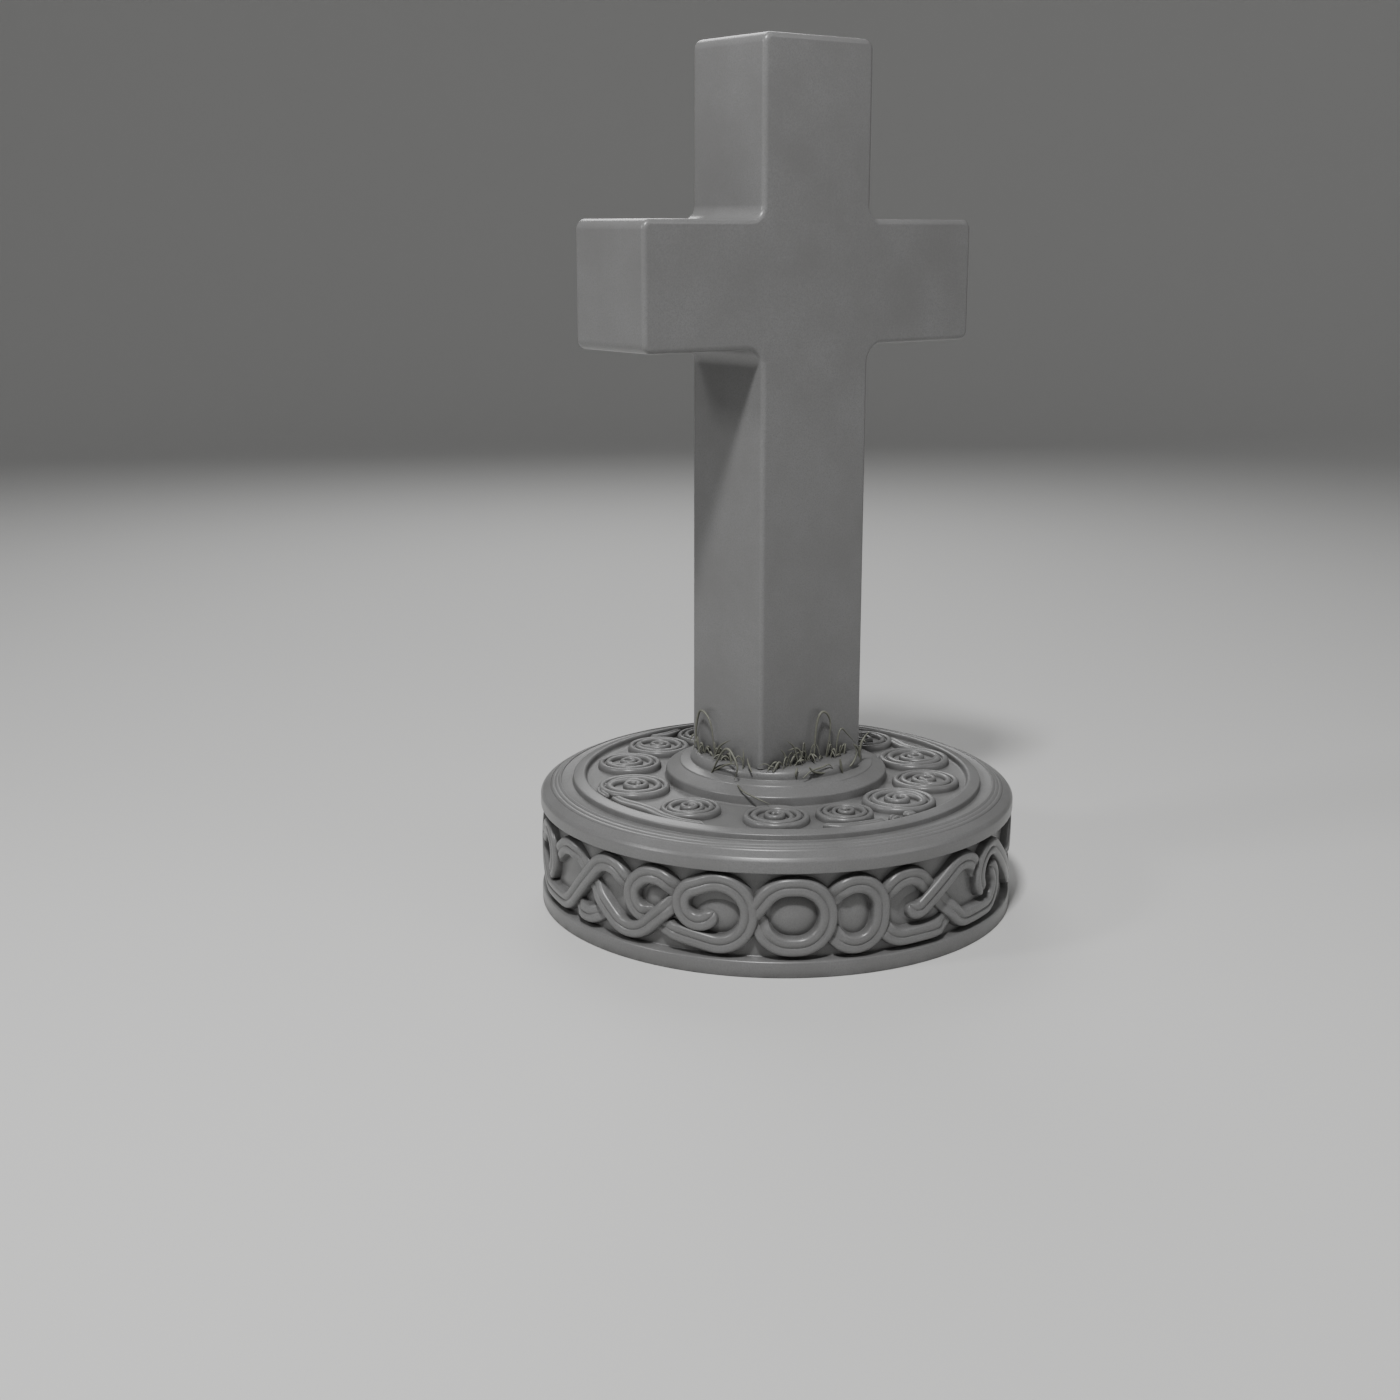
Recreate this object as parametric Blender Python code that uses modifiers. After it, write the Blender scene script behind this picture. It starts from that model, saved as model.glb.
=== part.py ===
"""A plain stone cross standing on a round plinth carved with interlace and spirals.

Metres, +Z up. The origin is the middle of the plinth's underside, the arms run along X
and the front of the cross faces -Y. A bearing is an angle round the plinth, from 0 at the
front, growing towards +X.
"""

import math

import bmesh
import bpy

# Driving dimensions of the plinth: the drum, from the ground up
PLINTH_RADIUS = 0.400
BASE_HEIGHT = 0.0255
FRIEZE_HEIGHT = 0.142
FRIEZE_DEPTH = 0.016
RIM_HEIGHT = 0.0235
EDGE_EASE = 0.004

# The mouldings of its top, from the rim inwards: how wide each is and how much it rises
OUTER_BAND_WIDTH = 0.0165
OUTER_BAND_RISE = 0.0083
LINE_DEPTH = 0.0016
LINED_BAND_WIDTH = 0.0178
LINED_BAND_RISE = 0.0077
GUTTER_WIDTH = 0.0210
GUTTER_FALL = 0.0050
RING_WIDTH = 0.0212
RING_HEIGHT = 0.0095
RING_RISE = 0.0049
CHANNEL_DEPTH = 0.0109

# The stepped disc in the middle, from the pad under the shaft outwards
PAD_MARGIN = 0.0020
PAD_HEIGHT = 0.0167
PAD_ROUNDING = 0.006
STEP_WIDTH = 0.0180
STEP_RISE = 0.0032
STEP_HEIGHT = 0.0021
DISC_WIDTH = 0.0235
DISC_RISE = 0.0103
DISC_HEIGHT = 0.0167

# The carved strands: half their width, the groove down the middle and the sunk crossings
STRAND_HALF_WIDTH = 0.0145
STRAND_FACE_SHARE = 0.62
STRAND_GROOVE = 0.0024
STRAND_SET_BACK = 0.0010
STRAND_ROOT = 0.004
CROSSING_DIP = 0.0065
CROSSING_REACH = 0.020
STRAND_STAGGER = 0.00006
TIP_SHARE = 0.5

# The spirals in the channel, which rise towards their middle
SPIRAL_HEIGHT = 0.0085
SPIRAL_RISE = 0.0055
SPIRAL_FACE_SHARE = 0.6
SPIRAL_GROOVE = 0.0020
SPIRAL_TURNS = 1.75

# The cross
SHAFT_WIDTH = 0.2200
FOOT_THICKNESS = 0.1826
HEAD_THICKNESS = 0.1775
CROSS_HEIGHT = 1.1371
ARM_SPAN = 0.6718
ARM_HEIGHT = 0.1945
ARM_RAISE = 0.6730
EDGE_ROUNDING = 0.008
CORNER_ROUNDING = 0.016
UPPER_FILLET = 0.021
LOWER_FILLET = 0.031
SEAT_GAP = 0.0003
FOOT_WASTE = 0.020

# How finely the round forms are cut
DRUM_SIDES = 44
ARC_STEP = math.radians(34)
LINE_STEP = 0.055
SPIRAL_STEPS_A_TURN = 8
ROUNDING_STEPS = 2
FILLET_STEPS = 3
SMOOTH_ANGLE = math.radians(35)

# What follows from the driving dimensions
FRIEZE_FOOT = BASE_HEIGHT
FRIEZE_HEAD = FRIEZE_FOOT + FRIEZE_HEIGHT
GROUND_RADIUS = PLINTH_RADIUS - FRIEZE_DEPTH
RIM_TOP = FRIEZE_HEAD + RIM_HEIGHT
LINE_RADIUS = PLINTH_RADIUS - OUTER_BAND_WIDTH
LINE_LEVEL = RIM_TOP + OUTER_BAND_RISE
GUTTER_RADIUS = LINE_RADIUS - LINED_BAND_WIDTH
GUTTER_EDGE_LEVEL = LINE_LEVEL + LINED_BAND_RISE
RING_OUTER_RADIUS = GUTTER_RADIUS - GUTTER_WIDTH
GUTTER_LEVEL = GUTTER_EDGE_LEVEL - GUTTER_FALL
RING_OUTER_LEVEL = GUTTER_LEVEL + RING_HEIGHT
RING_INNER_RADIUS = RING_OUTER_RADIUS - RING_WIDTH
RING_INNER_LEVEL = RING_OUTER_LEVEL + RING_RISE
CHANNEL_LEVEL = RING_INNER_LEVEL - CHANNEL_DEPTH
PAD_RADIUS = math.hypot(SHAFT_WIDTH, FOOT_THICKNESS) / 2 + PAD_MARGIN
STEP_RADIUS = PAD_RADIUS + STEP_WIDTH
DISC_RADIUS = STEP_RADIUS + DISC_WIDTH
DISC_LEVEL = CHANNEL_LEVEL + DISC_HEIGHT
STEP_LEVEL = DISC_LEVEL + DISC_RISE + STEP_HEIGHT
PAD_FOOT_LEVEL = STEP_LEVEL + STEP_RISE
PAD_TOP = PAD_FOOT_LEVEL + PAD_HEIGHT
CROSS_FOOT = PAD_TOP + SEAT_GAP
CHANNEL_MIDDLE = (RING_INNER_RADIUS + DISC_RADIUS) / 2
CHANNEL_WIDTH = RING_INNER_RADIUS - DISC_RADIUS

# The frieze is drawn flat in millimetres on a strip, which is then laid round the drum.
# Half the strip is drawn, and the other half repeats it.
MM = 1000.0
STRIP_LENGTH = 2501.0
STRIP_HEIGHT = 142.0
STRIP_START = -37.7
STRIP_REPEATS = 2
FOOT_LINE = 22.0
HEAD_LINE = 119.0
NEARLY_ROUND = math.radians(355)
LEFT, RIGHT = 1, -1


def clear_scene():
    for obj in list(bpy.data.objects):
        bpy.data.objects.remove(obj, do_unlink=True)


def new_collection(name, hidden=False):
    collection = bpy.data.collections.new(name)
    bpy.context.scene.collection.children.link(collection)
    collection.hide_render = hidden
    return collection


def stone(name, grey, roughness):
    """A plain stone colour."""
    material = bpy.data.materials.new(name)
    material.use_nodes = True
    shader = material.node_tree.nodes["Principled BSDF"]
    shader.inputs["Base Color"].default_value = (grey, grey, grey * 0.98, 1)
    shader.inputs["Roughness"].default_value = roughness
    return material


def add_object(name, mesh, collection, material=None):
    obj = bpy.data.objects.new(name, mesh)
    collection.objects.link(obj)
    if material:
        mesh.materials.append(material)
    return obj


def on_drum(bearing, radius, height):
    """The point at a bearing, a distance from the axis and a height."""
    return (radius * math.sin(bearing), -radius * math.cos(bearing), height)


# The drum


def quarter_round(centre_radius, centre_height, size):
    """Points on a rounded top edge, from the top face down to the side."""
    points = []
    for step in range(ROUNDING_STEPS + 1):
        angle = math.pi / 2 * (1 - step / ROUNDING_STEPS)
        radius = centre_radius + size * math.cos(angle)
        points.append((radius, centre_height + size * math.sin(angle)))
    return points


def drum_profile():
    """The turned outline, from the middle of the top out and down to the underside."""
    pad_edge = PAD_RADIUS - PAD_ROUNDING
    return [
        (0.0, PAD_TOP),
        *quarter_round(pad_edge, PAD_TOP - PAD_ROUNDING, PAD_ROUNDING),
        (PAD_RADIUS, PAD_FOOT_LEVEL),
        (STEP_RADIUS, STEP_LEVEL),
        (STEP_RADIUS + STEP_HEIGHT / 2, STEP_LEVEL - STEP_HEIGHT),
        (DISC_RADIUS - EDGE_EASE / 2, DISC_LEVEL),
        (DISC_RADIUS, DISC_LEVEL - EDGE_EASE / 2),
        (DISC_RADIUS + EDGE_EASE / 2, CHANNEL_LEVEL),
        (RING_INNER_RADIUS - EDGE_EASE / 2, CHANNEL_LEVEL),
        (RING_INNER_RADIUS, RING_INNER_LEVEL - EDGE_EASE / 2),
        (RING_INNER_RADIUS + EDGE_EASE, RING_INNER_LEVEL),
        (RING_OUTER_RADIUS - EDGE_EASE / 2, RING_OUTER_LEVEL),
        (RING_OUTER_RADIUS + EDGE_EASE / 2, GUTTER_LEVEL),
        (GUTTER_RADIUS, GUTTER_EDGE_LEVEL),
        (LINE_RADIUS - LINE_DEPTH, LINE_LEVEL),
        (LINE_RADIUS, LINE_LEVEL - LINE_DEPTH),
        (PLINTH_RADIUS - EDGE_EASE, RIM_TOP),
        (PLINTH_RADIUS, RIM_TOP - EDGE_EASE),
        (PLINTH_RADIUS, FRIEZE_HEAD),
        (GROUND_RADIUS, FRIEZE_HEAD),
        (GROUND_RADIUS, FRIEZE_FOOT + EDGE_EASE),
        (PLINTH_RADIUS - EDGE_EASE, FRIEZE_FOOT),
        (PLINTH_RADIUS, FRIEZE_FOOT - EDGE_EASE),
        (PLINTH_RADIUS, 0.0),
        (0.0, 0.0),
    ]


def turned(name, profile, collection, material):
    """A profile turned about the Z axis."""
    mesh = bpy.data.meshes.new(name)
    shape = bmesh.new()
    corners = [shape.verts.new((radius, 0.0, height)) for radius, height in profile]
    for upper, lower in zip(corners, corners[1:]):
        shape.edges.new((upper, lower))
    shape.to_mesh(mesh)
    shape.free()
    obj = add_object(name, mesh, collection, material)
    screw = obj.modifiers.new("turn", "SCREW")
    screw.steps = DRUM_SIDES
    screw.render_steps = DRUM_SIDES
    screw.use_merge_vertices = True
    screw.merge_threshold = 0.0001
    return obj


# Paths: a strand runs round named turns, with straight runs between them


def turn(along, up, radius, side):
    """A turn of a strand: the middle of its bend, its radius and the side the middle is on."""
    return (along, up, radius, side)


def crest(along, radius):
    """A bend over the top, whose middle line touches the head line."""
    return turn(along, HEAD_LINE - radius, radius, RIGHT)


def trough(along, radius):
    """A bend along the bottom, whose middle line touches the foot line."""
    return turn(along, FOOT_LINE + radius, radius, LEFT)


def point(along, up):
    """A plain point, where a strand starts or ends."""
    return turn(along, up, 0.0, LEFT)


def tangent_direction(first, second):
    """The direction of the straight run from one turn to the next."""
    across = second[0] - first[0]
    up = second[1] - first[1]
    offset = second[2] * second[3] - first[2] * first[3]
    return math.atan2(up, across) - math.asin(offset / math.hypot(across, up))


def arc_angle(direction, side):
    """Where on a turn a strand with this direction lies, as an angle from its middle."""
    return direction - side * math.pi / 2


def swept_angle(start, end, side):
    """How far a strand goes round a turn, always the way the turn bends."""
    swept = (side * (end - start)) % (2 * math.pi)
    return 0.0 if swept > NEARLY_ROUND else swept


def path_points(turns, start, end, line_step):
    """Points along the middle line of a strand, from turn to turn."""
    directions = [tangent_direction(a, b) for a, b in zip(turns, turns[1:])]
    points = []
    for index, (along, up, radius, side) in enumerate(turns):
        if index:
            enter = arc_angle(directions[index - 1], side)
        else:
            enter = math.radians(start)
        if index < len(directions):
            leave = arc_angle(directions[index], side)
        else:
            leave = math.radians(end)
        swept = swept_angle(enter, leave, side) if radius else 0.0
        steps = math.ceil(swept / ARC_STEP) if radius else 0
        arc = []
        for step in range(steps + 1):
            angle = enter + side * swept * step / max(steps, 1)
            arc.append((along + radius * math.cos(angle), up + radius * math.sin(angle)))
        if points:
            points += between(points[-1], arc[0], line_step)
        points += arc
    return points


def between(first, second, line_step):
    """The points inside a straight run."""
    length = math.dist(first, second)
    count = math.ceil(length / line_step)
    shares = [step / count for step in range(1, count)]
    return [
        (first[0] + (second[0] - first[0]) * share, first[1] + (second[1] - first[1]) * share)
        for share in shares
    ]


def grooved_section(face_share, groove):
    """A band seen end on, as (sideways share, share of its height, how much lower)."""
    return [
        (-1.0, 0.0, STRAND_ROOT),
        (-face_share, 1.0, 0.0),
        (0.0, 1.0, groove),
        (face_share, 1.0, 0.0),
        (1.0, 0.0, STRAND_ROOT),
    ]


def strand(name, points, half_widths, heights, section, place, collection):
    """A carved band lofted along a middle line, upright on the face that place lays it on."""
    shape = bmesh.new()
    rings = []
    for index, (along, up) in enumerate(points):
        before = points[max(index - 1, 0)]
        after = points[min(index + 1, len(points) - 1)]
        heading = math.atan2(after[1] - before[1], after[0] - before[0])
        ring = []
        for sideways, share, sunk in section:
            offset = sideways * half_widths[index]
            height = share * heights[index] - sunk
            across = along - offset * math.sin(heading)
            over = up + offset * math.cos(heading)
            ring.append(shape.verts.new(place(across, over, height)))
        rings.append(ring)
    for ring, following in zip(rings, rings[1:]):
        for corner in range(len(section)):
            neighbour = (corner + 1) % len(section)
            shape.faces.new(
                (ring[corner], ring[neighbour], following[neighbour], following[corner])
            )
    shape.faces.new(rings[0][::-1])
    shape.faces.new(rings[-1])
    bmesh.ops.recalc_face_normals(shape, faces=shape.faces)
    mesh = bpy.data.meshes.new(name)
    shape.to_mesh(mesh)
    shape.free()
    obj = add_object(name, mesh, collection)
    obj.display_type = "WIRE"
    obj.hide_render = True
    return obj


# The frieze


def on_frieze(along, up, height):
    """Lays a point of the drawing on the drum, at a height above the sunk ground."""
    bearing = math.radians(STRIP_START + 360 * along / STRIP_LENGTH)
    level = FRIEZE_FOOT + FRIEZE_HEIGHT * up / STRIP_HEIGHT
    return on_drum(bearing, GROUND_RADIUS + height, level)


def frieze_strands():
    """Each strand: its turns, where it starts and ends on them, its ends and its dips."""
    return {
        "left_wave": (
            [point(-482, 80), crest(-412, 46), trough(-262, 52), point(-176, 82)],
            (0, 0),
            ("tucked", "tucked"),
            (-362,),
        ),
        "long_wave": (
            [point(-762, 46), crest(-680, 42), trough(-505, 40), trough(-438, 44), crest(-307, 42)],
            (0, 5),
            ("tucked", "tucked"),
            (),
        ),
        "short_bowl": ([trough(-360, 52)], (222, 318), ("tucked", "tucked"), ()),
        "small_scroll": (
            [turn(-214, 77, 42, LEFT), turn(-226.5, 81.5, 30, LEFT)],
            (40, 312),
            ("tucked", "tucked"),
            (),
        ),
        "large_scroll": (
            [point(-204, 38), trough(-106, 50), turn(-138, 83, 28, LEFT)],
            (0, 340),
            ("tucked", "tip"),
            (),
        ),
        "wide_ring": (
            [
                point(-78, 42),
                turn(7, 70.5, 48.5, RIGHT),
                turn(19, 70.5, 48.5, RIGHT),
                turn(7, 70.5, 48.5, RIGHT),
            ],
            (0, 172),
            ("tucked", "tucked"),
            (),
        ),
        "narrow_ring": (
            [turn(112, 77, 42, RIGHT), turn(112, 63, 42, RIGHT)],
            (165, 195),
            ("tucked", "tucked"),
            (),
        ),
        "right_wave": (
            [crest(202, 42), trough(338, 42), trough(400, 33)],
            (160, 75),
            ("tucked", "tip"),
            (264,),
        ),
        "hooked_wave": (
            [turn(222, 77.5, 16.5, LEFT), crest(324, 44)],
            (200, 5),
            ("tip", "tucked"),
            (),
        ),
        "long_bowl": (
            [trough(197, 44.5), trough(252, 75)],
            (180, 306),
            ("tucked", "tucked"),
            (),
        ),
        "far_wave": (
            [crest(412, 38.5), trough(570, 38), crest(728, 38)],
            (232, 290),
            ("tip", "tip"),
            (646,),
        ),
    }


def face_heights(points, ends, dips, number):
    """How far a strand stands above the ground, sunk where it passes under another.

    Each strand is a hair higher than the last, so that no two faces share a surface.
    """
    full = FRIEZE_DEPTH - STRAND_SET_BACK + STRAND_STAGGER * number
    reach = CROSSING_REACH * MM
    heights = []
    for along, up in points:
        sink = 0.0
        for end, spot in zip(ends, (points[0], points[-1])):
            if end == "tucked":
                sink = max(sink, 1 - math.dist((along, up), spot) / reach)
        for dip in dips:
            sink = max(sink, 1 - abs(along - dip) / reach)
        heights.append(full - CROSSING_DIP * min(sink, 1.0))
    return heights


def tapered_widths(points, half_width, ends):
    """Half widths along a strand, drawn in at a rounded tip."""
    widths = []
    for along, up in points:
        width = half_width
        for end, spot in zip(ends, (points[0], points[-1])):
            if end == "tip" and spot == (along, up):
                width = half_width * TIP_SHARE
        widths.append(width)
    return widths


def with_rounded_start(points, half_width):
    """On a long first run, adds a point where the rounding of the tip begins."""
    run = math.dist(points[0], points[1])
    if run < 2 * half_width:
        return points
    share = half_width / run
    shoulder = tuple(a + (b - a) * share for a, b in zip(*points[:2]))
    return [points[0], shoulder] + points[1:]


def with_rounded_tips(points, half_width, ends):
    if ends[0] == "tip":
        points = with_rounded_start(points, half_width)
    if ends[1] == "tip":
        points = with_rounded_start(points[::-1], half_width)[::-1]
    return points


def carve_frieze(collection):
    """The interlace round the drum."""
    half_width = STRAND_HALF_WIDTH * MM
    section = grooved_section(STRAND_FACE_SHARE, STRAND_GROOVE)
    shift = STRIP_LENGTH / STRIP_REPEATS
    for number, (name, drawn) in enumerate(frieze_strands().items()):
        turns, (start, end), ends, dips = drawn
        points = path_points(turns, start, end, LINE_STEP * MM)
        points = with_rounded_tips(points, half_width, ends)
        heights = face_heights(points, ends, dips, number)
        widths = tapered_widths(points, half_width, ends)
        for repeat in range(STRIP_REPEATS):
            moved = [(along + shift * repeat, up) for along, up in points]
            label = f"{name}_{repeat + 1}"
            strand(label, moved, widths, heights, section, on_frieze, collection)


# The spirals

# Where each spiral sits, as a bearing, and how wide it is as a share of the channel.
# A scroll is two spirals joined by a strand along the ring. A lone spiral turns one way.
SCROLLS = (
    ((-107.1, 0.88), (-72.2, 0.72)),
    ((-14.7, 0.68), (11.3, 0.88)),
    ((69.7, 0.90), (102.3, 0.80)),
    ((169.5, 0.80), (195.0, 0.80)),
)
LONE_SPIRALS = (
    (-138.3, 0.80, LEFT),
    (-39.8, 0.78, LEFT),
    (39.3, 0.82, RIGHT),
    (135.0, 0.80, LEFT),
)
SPIRAL_BAND_SHARE = 0.2
SPIRAL_CORE_SHARE = 0.18
SPIRAL_ROUND_SHARE = 0.5
LINK_STEPS = 3


def eased(share):
    """A smooth rise from 0 to 1 over shares 0 to 1."""
    share = min(max(share, 0.0), 1.0)
    return share * share * (3 - 2 * share)


def spiral_points(bearing, width_share, side):
    """A spiral from its outer end, on the ring's side, inwards: points, half widths, heights.

    Its first part is round, so that the boss is round, and then it winds in and rises.
    """
    size = CHANNEL_WIDTH * width_share / 2
    band = size * SPIRAL_BAND_SHARE
    outer = size - band
    core = size * SPIRAL_CORE_SHARE
    middle = on_drum(math.radians(bearing), CHANNEL_MIDDLE, 0.0)
    outwards = math.radians(bearing - 90)
    steps = round(SPIRAL_TURNS * SPIRAL_STEPS_A_TURN)
    points = []
    for step in range(steps + 1):
        share = step / steps
        wound = eased((share - SPIRAL_ROUND_SHARE) / (1 - SPIRAL_ROUND_SHARE))
        wound = (wound + max(share - SPIRAL_ROUND_SHARE, 0) / (1 - SPIRAL_ROUND_SHARE)) / 2
        radius = outer - (outer - core) * wound
        angle = outwards + side * 2 * math.pi * SPIRAL_TURNS * share
        spot = (middle[0] + radius * math.cos(angle), middle[1] + radius * math.sin(angle))
        points.append((spot, band, SPIRAL_HEIGHT + SPIRAL_RISE * wound))
    return points


def on_channel(across, over, height):
    """Lays a point on the floor of the channel."""
    return (across, over, CHANNEL_LEVEL + height)


def spiral_strand(name, stations, collection, number):
    """One strand of the spirals from its stations, narrowed at both ends."""
    section = grooved_section(SPIRAL_FACE_SHARE, SPIRAL_GROOVE)
    points = [spot for spot, _, _ in stations]
    widths = [width for _, width, _ in stations]
    widths[0] *= TIP_SHARE
    widths[-1] *= TIP_SHARE
    heights = [height + STRAND_STAGGER * number for _, _, height in stations]
    strand(name, points, widths, heights, section, on_channel, collection)


def linked(first, second):
    """The stations of the strand between two spirals."""
    stations = []
    for step in range(1, LINK_STEPS):
        share = step / LINK_STEPS
        spot = tuple(a + (b - a) * share for a, b in zip(first[0], second[0]))
        stations.append((spot, first[1] + (second[1] - first[1]) * share, SPIRAL_HEIGHT))
    return stations


def carve_spirals(collection):
    """The running scrolls and lone spirals between the ring and the disc."""
    for number, (first, second) in enumerate(SCROLLS, 1):
        inwards = spiral_points(*first, RIGHT)
        onwards = spiral_points(*second, LEFT)
        stations = inwards[::-1] + linked(inwards[0], onwards[0]) + onwards
        spiral_strand(f"scroll_{number}", stations, collection, number)
    for number, (bearing, width_share, side) in enumerate(LONE_SPIRALS, 1):
        stations = spiral_points(bearing, width_share, side)
        spiral_strand(f"spiral_{number}", stations, collection, number)


def make_plinth(parts, cutters, material):
    plinth = turned("plinth", drum_profile(), parts, material)
    carve_frieze(cutters)
    carve_spirals(cutters)
    join = plinth.modifiers.new("carving", "BOOLEAN")
    join.operation = "UNION"
    join.operand_type = "COLLECTION"
    join.collection = cutters
    join.solver = "EXACT"
    join.use_self = True
    return plinth


# The cross


def rounded_outline(corners):
    """A closed outline with each corner (x, z, radius) drawn as an arc."""
    points = []
    count = len(corners)
    for index, (x, z, radius) in enumerate(corners):
        before = corners[index - 1]
        after = corners[(index + 1) % count]
        into = math.atan2(z - before[1], x - before[0])
        out = math.atan2(after[1] - z, after[0] - x)
        bend = (out - into + math.pi) % (2 * math.pi) - math.pi
        side = LEFT if bend > 0 else RIGHT
        reach = radius * math.tan(abs(bend) / 2)
        start = (x - reach * math.cos(into), z - reach * math.sin(into))
        middle = (
            start[0] - side * radius * math.sin(into),
            start[1] + side * radius * math.cos(into),
        )
        steps = FILLET_STEPS if radius > EDGE_ROUNDING else ROUNDING_STEPS
        for step in range(steps + 1):
            angle = arc_angle(into + bend * step / steps, side)
            points.append(
                (middle[0] + radius * math.cos(angle), middle[1] + radius * math.sin(angle))
            )
    return points


def cross_corners():
    """The corners of the cross seen from the front, round it to the left of travel."""
    half_shaft = SHAFT_WIDTH / 2
    half_span = ARM_SPAN / 2
    arm_top = ARM_RAISE + ARM_HEIGHT
    right = [
        (half_shaft, -FOOT_WASTE, EDGE_ROUNDING),
        (half_shaft, ARM_RAISE, LOWER_FILLET),
        (half_span, ARM_RAISE, CORNER_ROUNDING),
        (half_span, arm_top, CORNER_ROUNDING),
        (half_shaft, arm_top, UPPER_FILLET),
        (half_shaft, CROSS_HEIGHT, CORNER_ROUNDING),
    ]
    left = [(-x, z, radius) for x, z, radius in reversed(right)]
    return right + left


def cut_flat_foot(shape):
    """Takes off the waste below the foot, which leaves a flat, crisp face to stand on."""
    everything = list(shape.verts) + list(shape.edges) + list(shape.faces)
    cut = bmesh.ops.bisect_plane(
        shape,
        geom=everything,
        plane_co=(0, 0, 0),
        plane_no=(0, -1, 0),
        clear_outer=True,
    )
    rim = [part for part in cut["geom_cut"] if isinstance(part, bmesh.types.BMEdge)]
    bmesh.ops.edgeloop_fill(shape, edges=rim)


def make_cross(parts, material):
    """One block: its outline cut through the thickness, its edges eased, then thinned upwards."""
    curve = bpy.data.curves.new("cross_outline", "CURVE")
    curve.dimensions = "2D"
    curve.fill_mode = "BOTH"
    curve.extrude = FOOT_THICKNESS / 2 - EDGE_ROUNDING
    curve.bevel_depth = EDGE_ROUNDING
    curve.bevel_resolution = 1
    curve.offset = -EDGE_ROUNDING
    outline = rounded_outline(cross_corners())
    spline = curve.splines.new("POLY")
    spline.points.add(len(outline) - 1)
    for spot, (x, z) in zip(spline.points, outline):
        spot.co = (x, z, 0.0, 1.0)
    spline.use_cyclic_u = True
    drawn = bpy.data.objects.new("cross_outline", curve)
    bpy.context.scene.collection.objects.link(drawn)
    bpy.context.view_layer.update()
    graph = bpy.context.evaluated_depsgraph_get()
    mesh = bpy.data.meshes.new_from_object(drawn.evaluated_get(graph))
    bpy.data.objects.remove(drawn, do_unlink=True)
    shape = bmesh.new()
    shape.from_mesh(mesh)
    bmesh.ops.remove_doubles(shape, verts=shape.verts, dist=0.00005)
    cut_flat_foot(shape)
    for corner in shape.verts:
        x, z, depth = corner.co
        thinning = 1 + (HEAD_THICKNESS / FOOT_THICKNESS - 1) * z / CROSS_HEIGHT
        corner.co = (x, -depth * thinning, z)
    bmesh.ops.recalc_face_normals(shape, faces=shape.faces)
    shape.to_mesh(mesh)
    shape.free()
    mesh.name = "cross"
    cross = add_object("cross", mesh, parts, material)
    cross.location = (0.0, 0.0, CROSS_FOOT)
    return cross


def main():
    clear_scene()
    parts = new_collection("cross_memorial")
    cutters = new_collection("carving", hidden=True)
    make_plinth(parts, cutters, stone("plinth_stone", 0.23, 0.5))
    cross = make_cross(parts, stone("cross_stone", 0.25, 0.45))
    cross.data.shade_smooth()
    cross.data.set_sharp_from_angle(angle=SMOOTH_ANGLE)


main()
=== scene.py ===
# %% [markdown]
# # A stone cross on a carved round plinth
#
# The object is a plain stone cross on a low drum. The drum's side is carved with a band of
# interlace, and its stepped top with rolled-up scrolls. Its solid parts come packed as a
# frame: blocks with the right outline and size. This lesson dresses that frame. It makes the
# same shapes finely, gives them stone, and adds the grass that grows at the foot of the shaft.

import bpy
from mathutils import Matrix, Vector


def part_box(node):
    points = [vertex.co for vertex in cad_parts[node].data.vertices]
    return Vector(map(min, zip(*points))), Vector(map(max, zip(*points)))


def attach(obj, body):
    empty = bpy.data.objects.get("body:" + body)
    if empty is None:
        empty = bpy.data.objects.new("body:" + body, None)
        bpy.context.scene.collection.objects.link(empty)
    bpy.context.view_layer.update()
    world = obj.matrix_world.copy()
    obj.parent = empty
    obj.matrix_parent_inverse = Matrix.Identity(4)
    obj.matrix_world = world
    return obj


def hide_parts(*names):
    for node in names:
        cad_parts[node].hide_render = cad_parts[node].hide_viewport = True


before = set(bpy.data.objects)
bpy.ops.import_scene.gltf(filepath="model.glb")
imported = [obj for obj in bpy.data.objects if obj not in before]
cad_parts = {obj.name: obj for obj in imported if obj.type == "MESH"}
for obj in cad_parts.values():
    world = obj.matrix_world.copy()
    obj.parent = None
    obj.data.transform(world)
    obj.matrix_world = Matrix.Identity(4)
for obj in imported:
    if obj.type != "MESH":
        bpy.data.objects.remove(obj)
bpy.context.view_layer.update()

import math

import bmesh
import bpy
import numpy as np
from mathutils import Vector

print("nodes:", sorted(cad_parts))

# %% [markdown]
# ## Sizes
#
# Every size below is a real one, in metres, and most are worked out from a few others: a
# mason would set the drum's radius and heights first, and lay out the mouldings from the rim
# inwards. A bearing is an angle round the drum, from 0 at the front, growing towards +X.

# %% Sizes of the plinth
_, plinth_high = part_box("plinth")
cross_low, cross_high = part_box("cross")

PLINTH_RADIUS = plinth_high.x
PAD_TOP = plinth_high.z
BASE_HEIGHT = 0.0255
FRIEZE_HEIGHT = 0.142
FRIEZE_DEPTH = 0.016
RIM_HEIGHT = 0.0235

OUTER_BAND_WIDTH = 0.0165
OUTER_BAND_RISE = 0.0083
LINED_BAND_WIDTH = 0.0178
LINED_BAND_RISE = 0.0077
GUTTER_WIDTH = 0.0210
GUTTER_FALL = 0.0050
RING_WIDTH = 0.0212
RING_HEIGHT = 0.0095
RING_RISE = 0.0049
CHANNEL_DEPTH = 0.0109

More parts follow.
